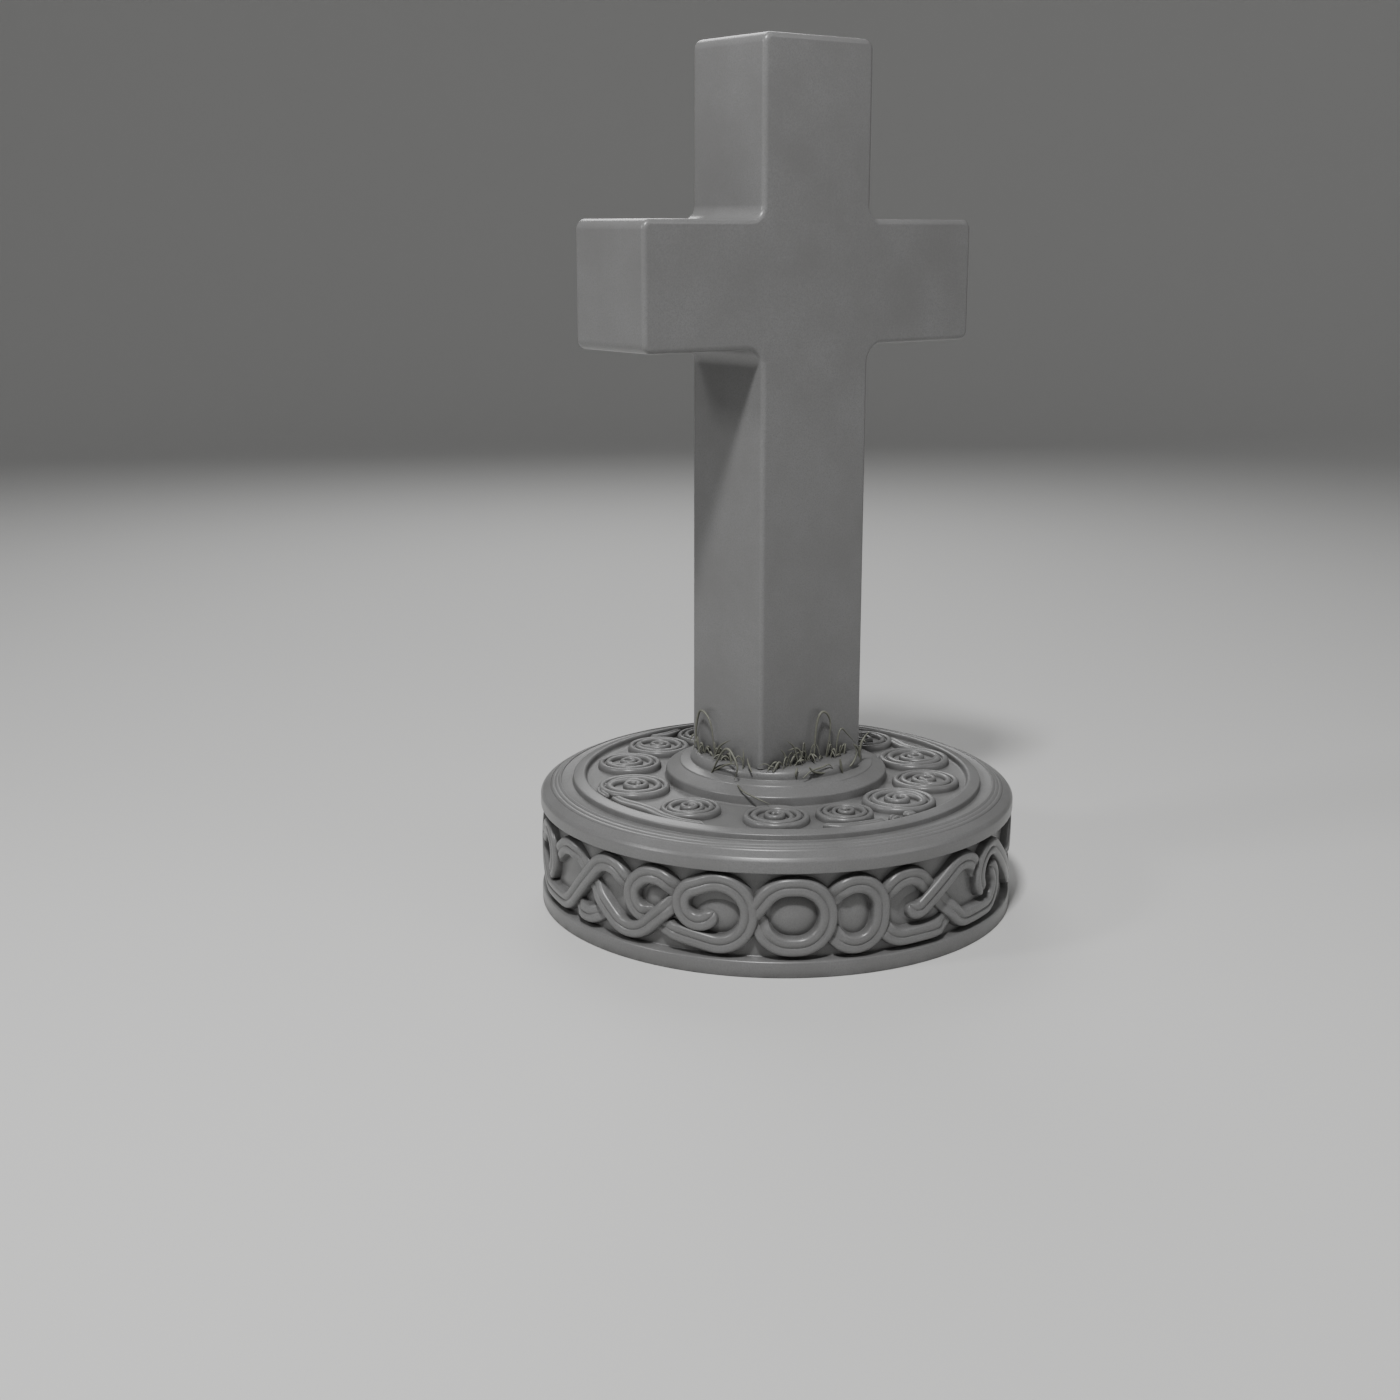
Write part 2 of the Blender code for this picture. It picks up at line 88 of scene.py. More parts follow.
STEP_WIDTH = 0.0180
STEP_RISE = 0.0032
STEP_HEIGHT = 0.0021
DISC_WIDTH = 0.0235
DISC_RISE = 0.0103
DISC_HEIGHT = 0.0167
PAD_RADIUS = 0.1449

FRIEZE_FOOT = BASE_HEIGHT
FRIEZE_HEAD = FRIEZE_FOOT + FRIEZE_HEIGHT
GROUND_RADIUS = PLINTH_RADIUS - FRIEZE_DEPTH
RIM_TOP = FRIEZE_HEAD + RIM_HEIGHT
LINE_RADIUS = PLINTH_RADIUS - OUTER_BAND_WIDTH
LINE_LEVEL = RIM_TOP + OUTER_BAND_RISE
GUTTER_RADIUS = LINE_RADIUS - LINED_BAND_WIDTH
GUTTER_EDGE_LEVEL = LINE_LEVEL + LINED_BAND_RISE
RING_OUTER_RADIUS = GUTTER_RADIUS - GUTTER_WIDTH
GUTTER_LEVEL = GUTTER_EDGE_LEVEL - GUTTER_FALL
RING_OUTER_LEVEL = GUTTER_LEVEL + RING_HEIGHT
RING_INNER_RADIUS = RING_OUTER_RADIUS - RING_WIDTH
RING_INNER_LEVEL = RING_OUTER_LEVEL + RING_RISE
CHANNEL_LEVEL = RING_INNER_LEVEL - CHANNEL_DEPTH
STEP_RADIUS = PAD_RADIUS + STEP_WIDTH
DISC_RADIUS = STEP_RADIUS + DISC_WIDTH
DISC_LEVEL = CHANNEL_LEVEL + DISC_HEIGHT
STEP_LEVEL = DISC_LEVEL + DISC_RISE + STEP_HEIGHT
PAD_FOOT_LEVEL = STEP_LEVEL + STEP_RISE
CHANNEL_MIDDLE = (RING_INNER_RADIUS + DISC_RADIUS) / 2
CHANNEL_WIDTH = RING_INNER_RADIUS - DISC_RADIUS

print(f"drum {2 * PLINTH_RADIUS:.3f} m across, pad top at {PAD_TOP:.4f} m")

# %% [markdown]
# ## Rounded outlines
#
# Both the drum and the cross start as a line of corners. Cut stone has no sharp corner left
# after a few years, so each corner gets a radius. The helper below replaces a corner with an
# arc, which works for the drum's profile and for the outline of the cross alike.

# %% A helper for rounded corners
LEFT, RIGHT = 1, -1


def arc_angle(direction, side):
    """Where on a bend a line with this direction lies, as an angle from its middle."""
    return direction - side * math.pi / 2


def rounded_corner(before, corner, after, steps):
    """Points of the arc that replaces a corner (x, y, radius)."""
    x, y, radius = corner
    if not radius:
        return [(x, y)]
    into = math.atan2(y - before[1], x - before[0])
    out = math.atan2(after[1] - y, after[0] - x)
    bend = (out - into + math.pi) % (2 * math.pi) - math.pi
    side = LEFT if bend > 0 else RIGHT
    reach = radius * math.tan(abs(bend) / 2)
    start_x = x - reach * math.cos(into)
    start_y = y - reach * math.sin(into)
    middle_x = start_x - side * radius * math.sin(into)
    middle_y = start_y + side * radius * math.cos(into)
    points = []
    for step in range(steps + 1):
        angle = arc_angle(into + bend * step / steps, side)
        points.append((middle_x + radius * math.cos(angle), middle_y + radius * math.sin(angle)))
    return points


def rounded_line(corners, steps, closed=False):
    """A line through corners (x, y, radius), with each one rounded."""
    points = []
    last = len(corners) - 1
    for index, corner in enumerate(corners):
        if not closed and index in (0, last):
            points.append(corner[:2])
            continue
        after = corners[(index + 1) % len(corners)]
        points += rounded_corner(corners[index - 1], corner, after, steps)
    return points


print("a square with rounded corners has",
      len(rounded_line([(0, 0, .1), (1, 0, .1), (1, 1, .1), (0, 1, .1)], 4, True)), "points")

# %% [markdown]
# ## The drum
#
# The plinth is one block of stone, turned or worked round with a template. Its profile runs
# from the middle of the top, over the pad, the stepped disc, the channel, the raised ring, the
# gutter and the lined bands, round the rim and down to the ground. Turning that line about the
# vertical gives the whole body. The rows of points are written straight into a mesh, because
# that keeps even quads, which take smooth shading well.

# %% The drum's profile and its turned surface
DRUM_SIDES = 200
CORNER_STEPS = 4
LINE_HALF_WIDTH = 0.0011
LINE_SLOPE = 0.4
LINE_CUTS = (0.0006, 0.0007, 0.0015)
LEAN = 0.0005
GUTTER_WALL = 0.0022
RIM_SLOPE = 0.0045
RIM_DROP = 0.0055
GROUND_RISE = 0.004
BASE_DROP = 0.006
LONGEST_RUN = 0.03


def fine_line(number):
    """The corners of one of the fine V-shaped lines that are cut into the lined band."""
    share = (number + 1) / len(LINE_CUTS)
    radius = GUTTER_RADIUS + LINED_BAND_WIDTH * share - LINE_HALF_WIDTH
    level = GUTTER_EDGE_LEVEL + (LINE_LEVEL - GUTTER_EDGE_LEVEL) * share
    return [
        (radius - LINE_HALF_WIDTH, level + LINE_HALF_WIDTH * LINE_SLOPE, 0),
        (radius, level - LINE_CUTS[number], 0),
        (radius + LINE_HALF_WIDTH, level - LINE_HALF_WIDTH * LINE_SLOPE, 0),
    ]


def drum_profile():
    """The turned outline from the middle of the top outwards, down and under.

    A corner is (radius, level, rounding). Walls lean a little, so that they take light.
    """
    return rounded_line(
        [
            (0.0, PAD_TOP, 0),
            (PAD_RADIUS, PAD_TOP, 0.0125),
            (PAD_RADIUS + LEAN, PAD_FOOT_LEVEL, 0.0015),
            (STEP_RADIUS, STEP_LEVEL, 0.003),
            (STEP_RADIUS + 2 * LEAN, STEP_LEVEL - STEP_HEIGHT, 0.0009),
            (DISC_RADIUS, DISC_LEVEL, 0.0045),
            (DISC_RADIUS + 3 * LEAN, CHANNEL_LEVEL, 0.0035),
            (RING_INNER_RADIUS - 3 * LEAN, CHANNEL_LEVEL, 0.0035),
            (RING_INNER_RADIUS, RING_INNER_LEVEL, 0.0045),
            (RING_OUTER_RADIUS - LEAN, RING_OUTER_LEVEL, 0.0028),
            (RING_OUTER_RADIUS + 2 * LEAN, GUTTER_LEVEL, 0.0015),
            (GUTTER_RADIUS - 2 * LEAN, GUTTER_EDGE_LEVEL - GUTTER_WALL, 0.0012),
            (GUTTER_RADIUS, GUTTER_EDGE_LEVEL, 0.0014),
            *[corner for number in range(len(LINE_CUTS)) for corner in fine_line(number)],
            (PLINTH_RADIUS - RIM_SLOPE, RIM_TOP + LEAN, 0.008),
            (PLINTH_RADIUS, RIM_TOP - RIM_DROP, 0.008),
            (PLINTH_RADIUS, FRIEZE_HEAD, 0.0018),
            (GROUND_RADIUS, FRIEZE_HEAD, 0.002),
            (GROUND_RADIUS, FRIEZE_FOOT + GROUND_RISE, 0.003),
            (PLINTH_RADIUS - 2 * LEAN, FRIEZE_FOOT, 0.004),
            (PLINTH_RADIUS, FRIEZE_FOOT - BASE_DROP, 0.003),
            (PLINTH_RADIUS, 0.0, 0.0015),
            (0.0, 0.0, 0),
        ],
        CORNER_STEPS,
    )


def evened(points, longest):
    """The same line, with long runs cut into shorter ones."""
    result = [points[0]]
    for first, second in zip(points, points[1:]):
        count = max(1, math.ceil(math.dist(first, second) / longest))
        for step in range(1, count + 1):
            share = step / count
            result.append(tuple(a + (b - a) * share for a, b in zip(first, second)))
    return result


def on_drum(bearing, radius, height):
    """The point at a bearing, a distance from the axis and a height."""
    return (radius * math.sin(bearing), -radius * math.cos(bearing), height)


def turned_rings(profile, sides):
    """The vertices of a profile turned about the vertical, ring by ring."""
    return [on_drum(2 * math.pi * side / sides, radius, height)
            for radius, height in profile for side in range(sides)]


def ring_faces(first, rings, sides):
    """The quads between rings of vertices; the first ring starts at the vertex first."""
    faces = []
    for start in range(first, first + (rings - 1) * sides, sides):
        for side in range(sides):
            here, beside = start + side, start + (side + 1) % sides
            faces.append((here, here + sides, beside + sides, beside))
    return faces


def fan_faces(middle, first, sides):
    """The triangles between one vertex and the ring that starts at the vertex first."""
    return [(middle, first + side, first + (side + 1) % sides) for side in range(sides)]


def turned_surface(profile, sides):
    """Vertices and faces of a profile turned about the vertical; its ends are on the axis."""
    inner = profile[1:-1]
    vertices = turned_rings(inner, sides)
    top, bottom = len(vertices), len(vertices) + 1
    under = fan_faces(bottom, top - sides, sides)
    vertices += [(0.0, 0.0, profile[0][1]), (0.0, 0.0, profile[-1][1])]
    faces = ring_faces(0, len(inner), sides) + fan_faces(top, 0, sides)
    return vertices, faces + [face[::-1] for face in under]


drum_vertices, drum_faces = turned_surface(evened(drum_profile(), LONGEST_RUN), DRUM_SIDES)
print("the drum alone has", len(drum_faces), "faces")

# %% [markdown]
# ## Strands
#
# The interlace is one kind of rope: a broad band with two rounded ridges and a groove between
# them. Its course is drawn flat, as a set of bends joined by straight runs, much as a carver
# sets it out with compasses. The helpers below turn a list of bends into points along the
# middle line. Bends are (along, up, radius, side) in millimetres on the flat drawing.

# %% Bends and the line through them
MM = 1000.0
STRIP_LENGTH = 2501.0
STRIP_HEIGHT = 142.0
STRIP_START = -37.7
STRIP_REPEATS = 2
FOOT_LINE = 22.0
HEAD_LINE = 119.0
ARC_STEP = math.radians(7)
LINE_STEP = 9.0
NEARLY_ROUND = math.radians(355)


def turn(along, up, radius, side):
    """A bend of a strand: its middle, its radius and the side its middle is on."""
    return (along, up, radius, side)


def crest(along, radius):
    """A bend over the top, whose middle line touches the head line."""
    return turn(along, HEAD_LINE - radius, radius, RIGHT)


def trough(along, radius):
    """A bend along the bottom, whose middle line touches the foot line."""
    return turn(along, FOOT_LINE + radius, radius, LEFT)


def point(along, up):
    """A plain point, where a strand starts or ends."""
    return turn(along, up, 0.0, LEFT)


def tangent_direction(first, second):
    """The direction of the straight run from one bend to the next."""
    across = second[0] - first[0]
    up = second[1] - first[1]
    offset = second[2] * second[3] - first[2] * first[3]
    return math.atan2(up, across) - math.asin(offset / math.hypot(across, up))


def swept_angle(start, end, side):
    """How far a strand goes round a bend, always the way the bend turns."""
    swept = (side * (end - start)) % (2 * math.pi)
    return 0.0 if swept > NEARLY_ROUND else swept


def path_points(turns, start, end):
    """Points along the middle line of a strand, from bend to bend."""
    directions = [tangent_direction(a, b) for a, b in zip(turns, turns[1:])]
    points = []
    for index, (along, up, radius, side) in enumerate(turns):
        enter = arc_angle(directions[index - 1], side) if index else math.radians(start)
        leaves = index < len(directions)
        leave = arc_angle(directions[index], side) if leaves else math.radians(end)
        swept = swept_angle(enter, leave, side) if radius else 0.0
        steps = math.ceil(swept / ARC_STEP) if radius else 0
        arc = []
        for step in range(steps + 1):
            angle = enter + side * swept * step / max(steps, 1)
            arc.append((along + radius * math.cos(angle), up + radius * math.sin(angle)))
        points += evened([points[-1], arc[0]], LINE_STEP)[1:-1] + arc if points else arc
    return points


print("one small ring has", len(path_points([turn(0, 0, 30, LEFT)], 0, 350)), "points")

# %% [markdown]
# ## A carved band
#
# Each strand is a loft: the same cross-section set again and again along the middle line. Two
# things make it look carved and not laid on. It sinks a little where it passes under another
# strand, and its free ends round off. Both are worked out for each station on the line.

# %% The section and the loft
STRAND_ROOT = 0.003
FOOT_SHARE = 1.13
GROOVE_SHARE = 0.40
GROOVE_POWER = 1.7
SHOULDER_SHARE = 0.52
SHOULDER_POWER = 2.2
WALL_SHARE = 0.5


def ridge_height(across, groove):
    """The height of the double ridge at a place across it, as a share of the full height."""
    across = abs(across)
    if across > SHOULDER_SHARE:
        fall = (across - SHOULDER_SHARE) / (1 - SHOULDER_SHARE)
        return WALL_SHARE + (1 - WALL_SHARE) * math.sqrt(max(0.0, 1 - fall ** SHOULDER_POWER))
    return 1 - groove * max(0.0, 1 - across / GROOVE_SHARE) ** GROOVE_POWER


def ridge_section(groove):
    """The band seen end on: a sloping foot on each side and the rounded double ridge."""
    shares = (1.0, 0.98, 0.93, 0.84, 0.72, 0.58, 0.44, 0.31, 0.20, 0.11, 0.04)
    across = [-share for share in shares] + [0.0] + list(shares[::-1])
    section = [(-FOOT_SHARE, 0.0, STRAND_ROOT), (-FOOT_SHARE, 0.0, 0.0)]
    section += [(share, ridge_height(share, groove), 0.0) for share in across]
    section += [(FOOT_SHARE, 0.0, 0.0), (FOOT_SHARE, 0.0, STRAND_ROOT)]
    return section


def eased(share):
    """A smooth rise from 0 to 1 over shares 0 to 1."""
    share = min(max(share, 0.0), 1.0)
    return share * share * (3 - 2 * share)


def loft(points, half_widths, heights, section, place):
    """Vertices and faces of a band along points; place lays it on its curved ground."""
    count = len(section)
    vertices = []
    for index, (along, up) in enumerate(points):
        before = points[max(index - 1, 0)]
        after = points[min(index + 1, len(points) - 1)]
        heading = math.atan2(after[1] - before[1], after[0] - before[0])
        for sideways, share, sunk in section:
            offset = sideways * half_widths[index]
            x = along - offset * math.sin(heading)
            y = up + offset * math.cos(heading)
            vertices.append(place(x, y, share * heights[index] - sunk))
    faces = []
    for ring in range(len(points) - 1):
        for corner in range(count):
            here = ring * count + corner
            beside = ring * count + (corner + 1) % count
            faces.append((here, beside, beside + count, here + count))
    faces.append(tuple(range(count))[::-1])
    faces.append(tuple(len(vertices) - count + corner for corner in range(count)))
    return vertices, faces


def distances_along(points):
    """How far along the line each point is."""
    steps = [math.dist(a, b) for a, b in zip(points, points[1:])]
    return [0.0] + list(np.cumsum(steps))


TUCKED, TIP = "tucked", "tip"
TUCKED_WIDTH = 0.45
TIP_BLUNTNESS = 0.06


def end_shares(points, ends, half_width):
    """For each point, the share of its full width: a tip is round, a tucked end narrows."""
    along = distances_along(points)
    shares = []
    for gone in along:
        share = 1.0
        for end, left in zip(ends, (gone, along[-1] - gone)):
            if end == TIP and left < half_width:
                share = min(share, math.sqrt(max(TIP_BLUNTNESS, 1 - (1 - left / half_width) ** 2)))
            elif end == TUCKED:
                share = min(share, TUCKED_WIDTH + (1 - TUCKED_WIDTH) * eased(left / half_width))
        shares.append(share)
    return shares


def rounded_heights(heights, shares):
    """Heights that drop to half where a band's width draws in."""
    return [height * (1 + share) / 2 for height, share in zip(heights, shares)]


print("the section of a strand has", len(ridge_section(0.0)), "points")

# %% [markdown]
# ## The interlace
#
# Half of the band is drawn and the other half repeats it on the far side of the drum. The
# strands are waves, bowls, scrolls and rings, and each one starts and ends under a neighbour
# or in a free, rounded tip. A strand has its bends, the angles at which a bend at its start or
# end is cut off, the look of its two ends, and the places where it dips under another. The
# bends and places are in millimetres on the drawing, the angles in degrees.

# %% The strands of the frieze
STRAND_HALF_WIDTH = 14.5
STRAND_GROOVE = 0.0026
STRAND_SET_BACK = 0.0010
CROSSING_DIP = 0.0085
CROSSING_HALF = 15.0
CROSSING_REACH = 24.0
STRAND_STAGGER = 0.00004

FRIEZE_STRANDS = (
    ([point(-482, 80), crest(-412, 46), trough(-262, 52), point(-168, 89)],
     (0, 0), (TUCKED, TUCKED), (-362,)),
    ([point(-751, 56), crest(-680, 42), trough(-505, 40), trough(-438, 44), crest(-307, 42),
      point(-250, 78)], (0, 0), (TUCKED, TUCKED), ()),
    ([trough(-360, 52)], (216, 328), (TUCKED, TUCKED), ()),
    ([point(-162, 88), turn(-214, 77, 42, LEFT), turn(-226.5, 81.5, 30, LEFT)],
     (0, 315), (TUCKED, TUCKED), ()),
    ([point(-214, 41), trough(-106, 50), turn(-138, 83, 28, LEFT)],
     (0, 340), (TUCKED, TIP), ()),
    ([point(-69, 51), turn(7, 70.5, 48.5, RIGHT), turn(19, 70.5, 48.5, RIGHT),
      turn(7, 70.5, 48.5, RIGHT)], (0, 172), (TUCKED, TUCKED), ()),
    ([turn(112, 77, 42, RIGHT), turn(112, 63, 42, RIGHT)], (172, 188), (TUCKED, TUCKED), ()),
    ([point(152, 74), crest(202, 42), trough(338, 42), trough(400, 33)],
     (0, 75), (TUCKED, TIP), (264,)),
    ([turn(222, 77.5, 16.5, LEFT), crest(324, 44)], (200, 2), (TIP, TUCKED), ()),
    ([trough(197, 44.5), trough(252, 75)], (180, 308), (TUCKED, TUCKED), ()),
    ([crest(412, 38.5), trough(570, 38), crest(728, 38)], (232, 290), (TIP, TIP), (646,)),
)


def on_frieze(along, up, height):
    """Lays a point of the drawing on the drum, at a height above the sunk ground."""
    bearing = math.radians(STRIP_START + 360 * along / STRIP_LENGTH)
    level = FRIEZE_FOOT + FRIEZE_HEIGHT * up / STRIP_HEIGHT
    return on_drum(bearing, GROUND_RADIUS + height, level)


def sunk_heights(points, ends, dips, full):
    """How far a strand stands above the ground, sunk where it passes under another."""
    gone = distances_along(points)
    heights = []
    for (along, _), passed in zip(points, gone):
        gaps = [abs(along - dip) for dip in dips]
        gaps += [gap for end, gap in zip(ends, (passed, gone[-1] - passed)) if end == TUCKED]
        sink = 1 - (min(gaps, default=math.inf) - CROSSING_HALF) / CROSSING_REACH
        heights.append(full - CROSSING_DIP * eased(sink))
    return heights


def frieze_bands():
    """The vertices and faces of every strand round the drum."""
    full = FRIEZE_DEPTH - STRAND_SET_BACK
    section = ridge_section(STRAND_GROOVE / full)
    for number, (turns, (start, end), ends, dips) in enumerate(FRIEZE_STRANDS):
        points = path_points(turns, start, end)
        heights = sunk_heights(points, ends, dips, full - STRAND_STAGGER * number)
        rounding = end_shares(points, ends, STRAND_HALF_WIDTH)
        widths = [STRAND_HALF_WIDTH * share for share in rounding]
        if TIP in ends:
            heights = rounded_heights(heights, rounding)
        for repeat in range(STRIP_REPEATS):
            shift = STRIP_LENGTH / STRIP_REPEATS * repeat
            moved = [(along + shift, up) for along, up in points]
            yield loft(moved, widths, heights, section, on_frieze)


frieze = list(frieze_bands())
print("strands:", len(frieze), "with", sum(len(faces) for _, faces in frieze), "faces")

# %% [markdown]
# The ground inside the rings and loops isn't flat. The carver left it standing a little in the
# middle, like a cushion, and cut it back along the strands. A cushion is a low dome with an
# oval foot, which is sunk slightly so that no edge of it shows. It is given by its middle, its
# half length and half height in millimetres, and its rise.

# %% The cushions of ground
CUSHION_RINGS = 7
CUSHION_SIDES = 32
CUSHION_SINK = 0.0015
CUSHIONS = (
    (13, 70.5, 42, 36, 0.0080),
    (-104, 66, 44, 30, 0.0060),
    (112, 70, 29, 42, 0.0045),
    (228, 64, 44, 30, 0.0045),
    (-214, 80, 24, 24, 0.0035),
)


def cushion(along, up, half_length, half_height, rise):
    """Vertices and faces of one dome on the frieze's ground."""
    vertices = [on_frieze(along, up, rise)]
    for ring in range(1, CUSHION_RINGS + 1):
        share = ring / CUSHION_RINGS
        height = rise * (1 - share**2) - CUSHION_SINK * share
        for side in range(CUSHION_SIDES):
            angle = 2 * math.pi * side / CUSHION_SIDES
            x = along + half_length * share * math.cos(angle)
            y = up + half_height * share * math.sin(angle)
            vertices.append(on_frieze(x, y, height))
    faces = fan_faces(0, 1, CUSHION_SIDES) + ring_faces(1, CUSHION_RINGS, CUSHION_SIDES)
    faces.append(tuple(range(len(vertices) - CUSHION_SIDES, len(vertices)))[::-1])
    return vertices, faces


cushions = [
    cushion(along + STRIP_LENGTH / STRIP_REPEATS * repeat, up, half_length, half_height, rise)
    for along, up, half_length, half_height, rise in CUSHIONS
    for repeat in range(STRIP_REPEATS)
]
print("cushions:", len(cushions))

# %% [markdown]
# ## The scrolls
#
# On the top, between the ring and the disc, stand twelve rolled-up bosses. Two round rolls
# lie side by side round each one. A third leaves them, crosses a hollow and winds in to the
# middle, and every roll stands a little higher than the one outside it. The outer rolls are
# full circles, so they are turned like the drum. The inner one is a band along a spiral. A
# boss has a bearing, a width as a share of the channel's, and the side its coil turns to. A
# roll has a place as a share of the boss's radius, and the heights of its inner and outer foot.

# %% The rolled-up bosses
SPIRAL_HEIGHT = 0.0104
SPIRAL_RISE = 0.0038
SPIRAL_POWER = 0.8
ROLL_HALF_WIDTH = 0.098
ROLLS = ((0.670, 0.0050, 0.0068), (0.902, 0.0068, 0.0))
ROLL_POINTS = 8
ROLL_FULLNESS = 0.8
ROLL_WALL = 0.42
HOLLOW_HEIGHT = 0.0050
BOSS_SIDES = 64
COIL_HALF_WIDTH = 0.088
COIL_REACH = (0.67, 0.44, 0.08)
COIL_SWING = 0.32
COIL_TURNS = 1.75
COIL_STEPS_A_TURN = 40
BOSSES = (
    (-138.3, 0.80, LEFT), (-107.1, 0.88, RIGHT), (-72.2, 0.72, LEFT), (-39.8, 0.78, LEFT),
    (-14.7, 0.68, RIGHT), (11.3, 0.88, LEFT), (39.3, 0.82, RIGHT), (69.7, 0.90, RIGHT),
    (102.3, 0.80, LEFT), (135.0, 0.80, LEFT), (169.5, 0.80, RIGHT), (195.0, 0.80, LEFT),
)


def roll_top(share):
    """How high a roll stands at a share of the boss's radius: more towards the middle."""
    return SPIRAL_HEIGHT + SPIRAL_RISE * (1 - share) ** SPIRAL_POWER


def boss_profile(size):
    """Half of a boss cut through its middle, from the hollow out over the two rolls."""
    profile = [(0.0, HOLLOW_HEIGHT)]
    for share, inner_foot, outer_foot in ROLLS:
        for step in range(ROLL_POINTS + 1):
            angle = math.pi * step / ROLL_POINTS
            foot = inner_foot if step < ROLL_POINTS / 2 else outer_foot
            rise = (roll_top(share) - foot) * math.sin(angle) ** ROLL_FULLNESS
            profile.append((size * (share - ROLL_HALF_WIDTH * math.cos(angle)), foot + rise))
    return profile + [(size, -STRAND_ROOT), (0.0, -STRAND_ROOT)]


def outer_rolls(bearing, size):
    """The two round rolls of a boss and the hollow inside them, turned about its middle."""
    vertices, faces = turned_surface(boss_profile(size), BOSS_SIDES)
    x, y, _ = on_drum(math.radians(bearing), CHANNEL_MIDDLE, 0.0)
    return [(x + across, y + over, CHANNEL_LEVEL + up) for across, over, up in vertices], faces


def roll_section():
    """A plain round roll seen end on."""
    section = [(-1.0, 0.0, 0.0)]
    for step in range(ROLL_POINTS + 1):
        angle = math.pi * step / ROLL_POINTS
        share = ROLL_WALL + (1 - ROLL_WALL) * math.sin(angle) ** ROLL_FULLNESS
        section.append((-math.cos(angle), share, 0.0))
    return section + [(1.0, 0.0, 0.0)]


def coil_stations(bearing, size, side):
    """Points, half widths and heights of the roll that winds in to the middle."""
    middle = on_drum(math.radians(bearing), CHANNEL_MIDDLE, 0.0)
    outwards = math.radians(bearing - 90)
    start, bend, end = COIL_REACH
    steps = round(COIL_TURNS * COIL_STEPS_A_TURN)
    stations = []
    for step in range(steps + 1):
        turns = COIL_TURNS * step / steps
        share = bend + (end - bend) * turns / COIL_TURNS
        share += (start - bend) * (1 - eased(turns / COIL_SWING))
        angle = outwards + side * 2 * math.pi * turns
        spot = (middle[0] + size * share * math.cos(angle),
                middle[1] + size * share * math.sin(angle))
        stations.append((spot, size * COIL_HALF_WIDTH, roll_top(share)))
    return stations


def on_channel(across, over, height):
    """Lays a point on the floor of the channel."""
    return (across, over, CHANNEL_LEVEL + height)


def channel_band(stations, ends, section):
    """A band laid through stations on the floor of the channel, with round tips."""
    points = [spot for spot, _, _ in stations]
    rounding = end_shares(points, ends, max(stations[0][1], stations[-1][1]))
    widths = [width * share for (_, width, _), share in zip(stations, rounding)]
    heights = rounded_heights([height for _, _, height in stations], rounding)
    return loft(points, widths, heights, section, on_channel)


bosses = []
for bearing, width_share, side in BOSSES:
    size = CHANNEL_WIDTH * width_share / 2
    bosses.append(outer_rolls(bearing, size))
    bosses.append(channel_band(coil_stations(bearing, size, side), (TIP, TIP), roll_section()))
print("bosses:", len(BOSSES), "with", sum(len(faces) for _, faces in bosses), "faces")

# %% [markdown]
# Some bosses are joined by a leaf, a short band that swells and bends like a lazy S along the
# ring. It is drawn by a few knots, each with a bearing in degrees, a place across the channel
# (0 at the disc and 1 at the ring) and a half width in millimetres. A smooth curve runs
# through the knots.

# %% The leaves between the bosses
LEAF_STEPS = 9
LEAF_GROOVE = 0.22
LEAF_HEIGHT = 0.0088
LEAVES = (
    ((-99, 0.88, 8), (-93, 0.87, 11), (-87, 0.82, 12), (-81, 0.83, 11), (-75, 0.90, 9.5),
     (-68, 0.94, 8), (-61, 0.92, 6)),
    ((-113, 0.70, 5), (-110.5, 0.84, 6.5), (-106, 0.94, 6.5), (-100, 0.94, 6)),
    ((-26, 0.84, 6), (-20, 0.92, 8.5), (-13, 0.93, 9), (-7, 0.93, 8)),
    ((-5, 0.93, 7), (-1.5, 0.87, 9)),
    ((1, 0.88, 9), (5, 0.93, 8)),
    ((97, 0.82, 8), (92, 0.77, 11), (86.5, 0.72, 11), (81, 0.75, 8), (76, 0.86, 5)),
    ((174, 0.93, 6), (181, 0.86, 9), (187, 0.90, 6)),
)


def smooth_line(knots, steps):
    """Points of a smooth curve that goes through every knot."""
    knots = [np.array(knot, float) for knot in knots]
    padded = [2 * knots[0] - knots[1]] + knots + [2 * knots[-1] - knots[-2]]
    points = []
    for before, first, second, after in zip(padded, padded[1:], padded[2:], padded[3:]):
        for step in range(steps):
            share = step / steps
            line = 2 * first + (second - before) * share
            bend = (2 * before - 5 * first + 4 * second - after) * share**2
            twist = (3 * first - before - 3 * second + after) * share**3
            points.append((line + bend + twist) / 2)
    return points + [knots[-1]]


def leaf_stations(knots):
    """Points, half widths and heights of one leaf."""
    stations = []
    for bearing, across, half_width in smooth_line(knots, LEAF_STEPS):
        radius = DISC_RADIUS + CHANNEL_WIDTH * across
        spot = on_drum(math.radians(bearing), radius, 0.0)[:2]
        stations.append((spot, half_width / MM, LEAF_HEIGHT))
    return stations


leaf_section = ridge_section(LEAF_GROOVE)
leaves = [channel_band(leaf_stations(knots), (TIP, TIP), leaf_section) for knots in LEAVES]
print("leaves:", len(leaves))

# %% [markdown]
# ## One carved block
#
# The drum and its carving are one stone, so they become one mesh and one object. It takes the
# place of the plain drum of the frame. Round work is shaded smooth, and only angles sharper
# than a set limit stay crisp.

# %% Make the carved plinth
SMOOTH_ANGLE = math.radians(48)


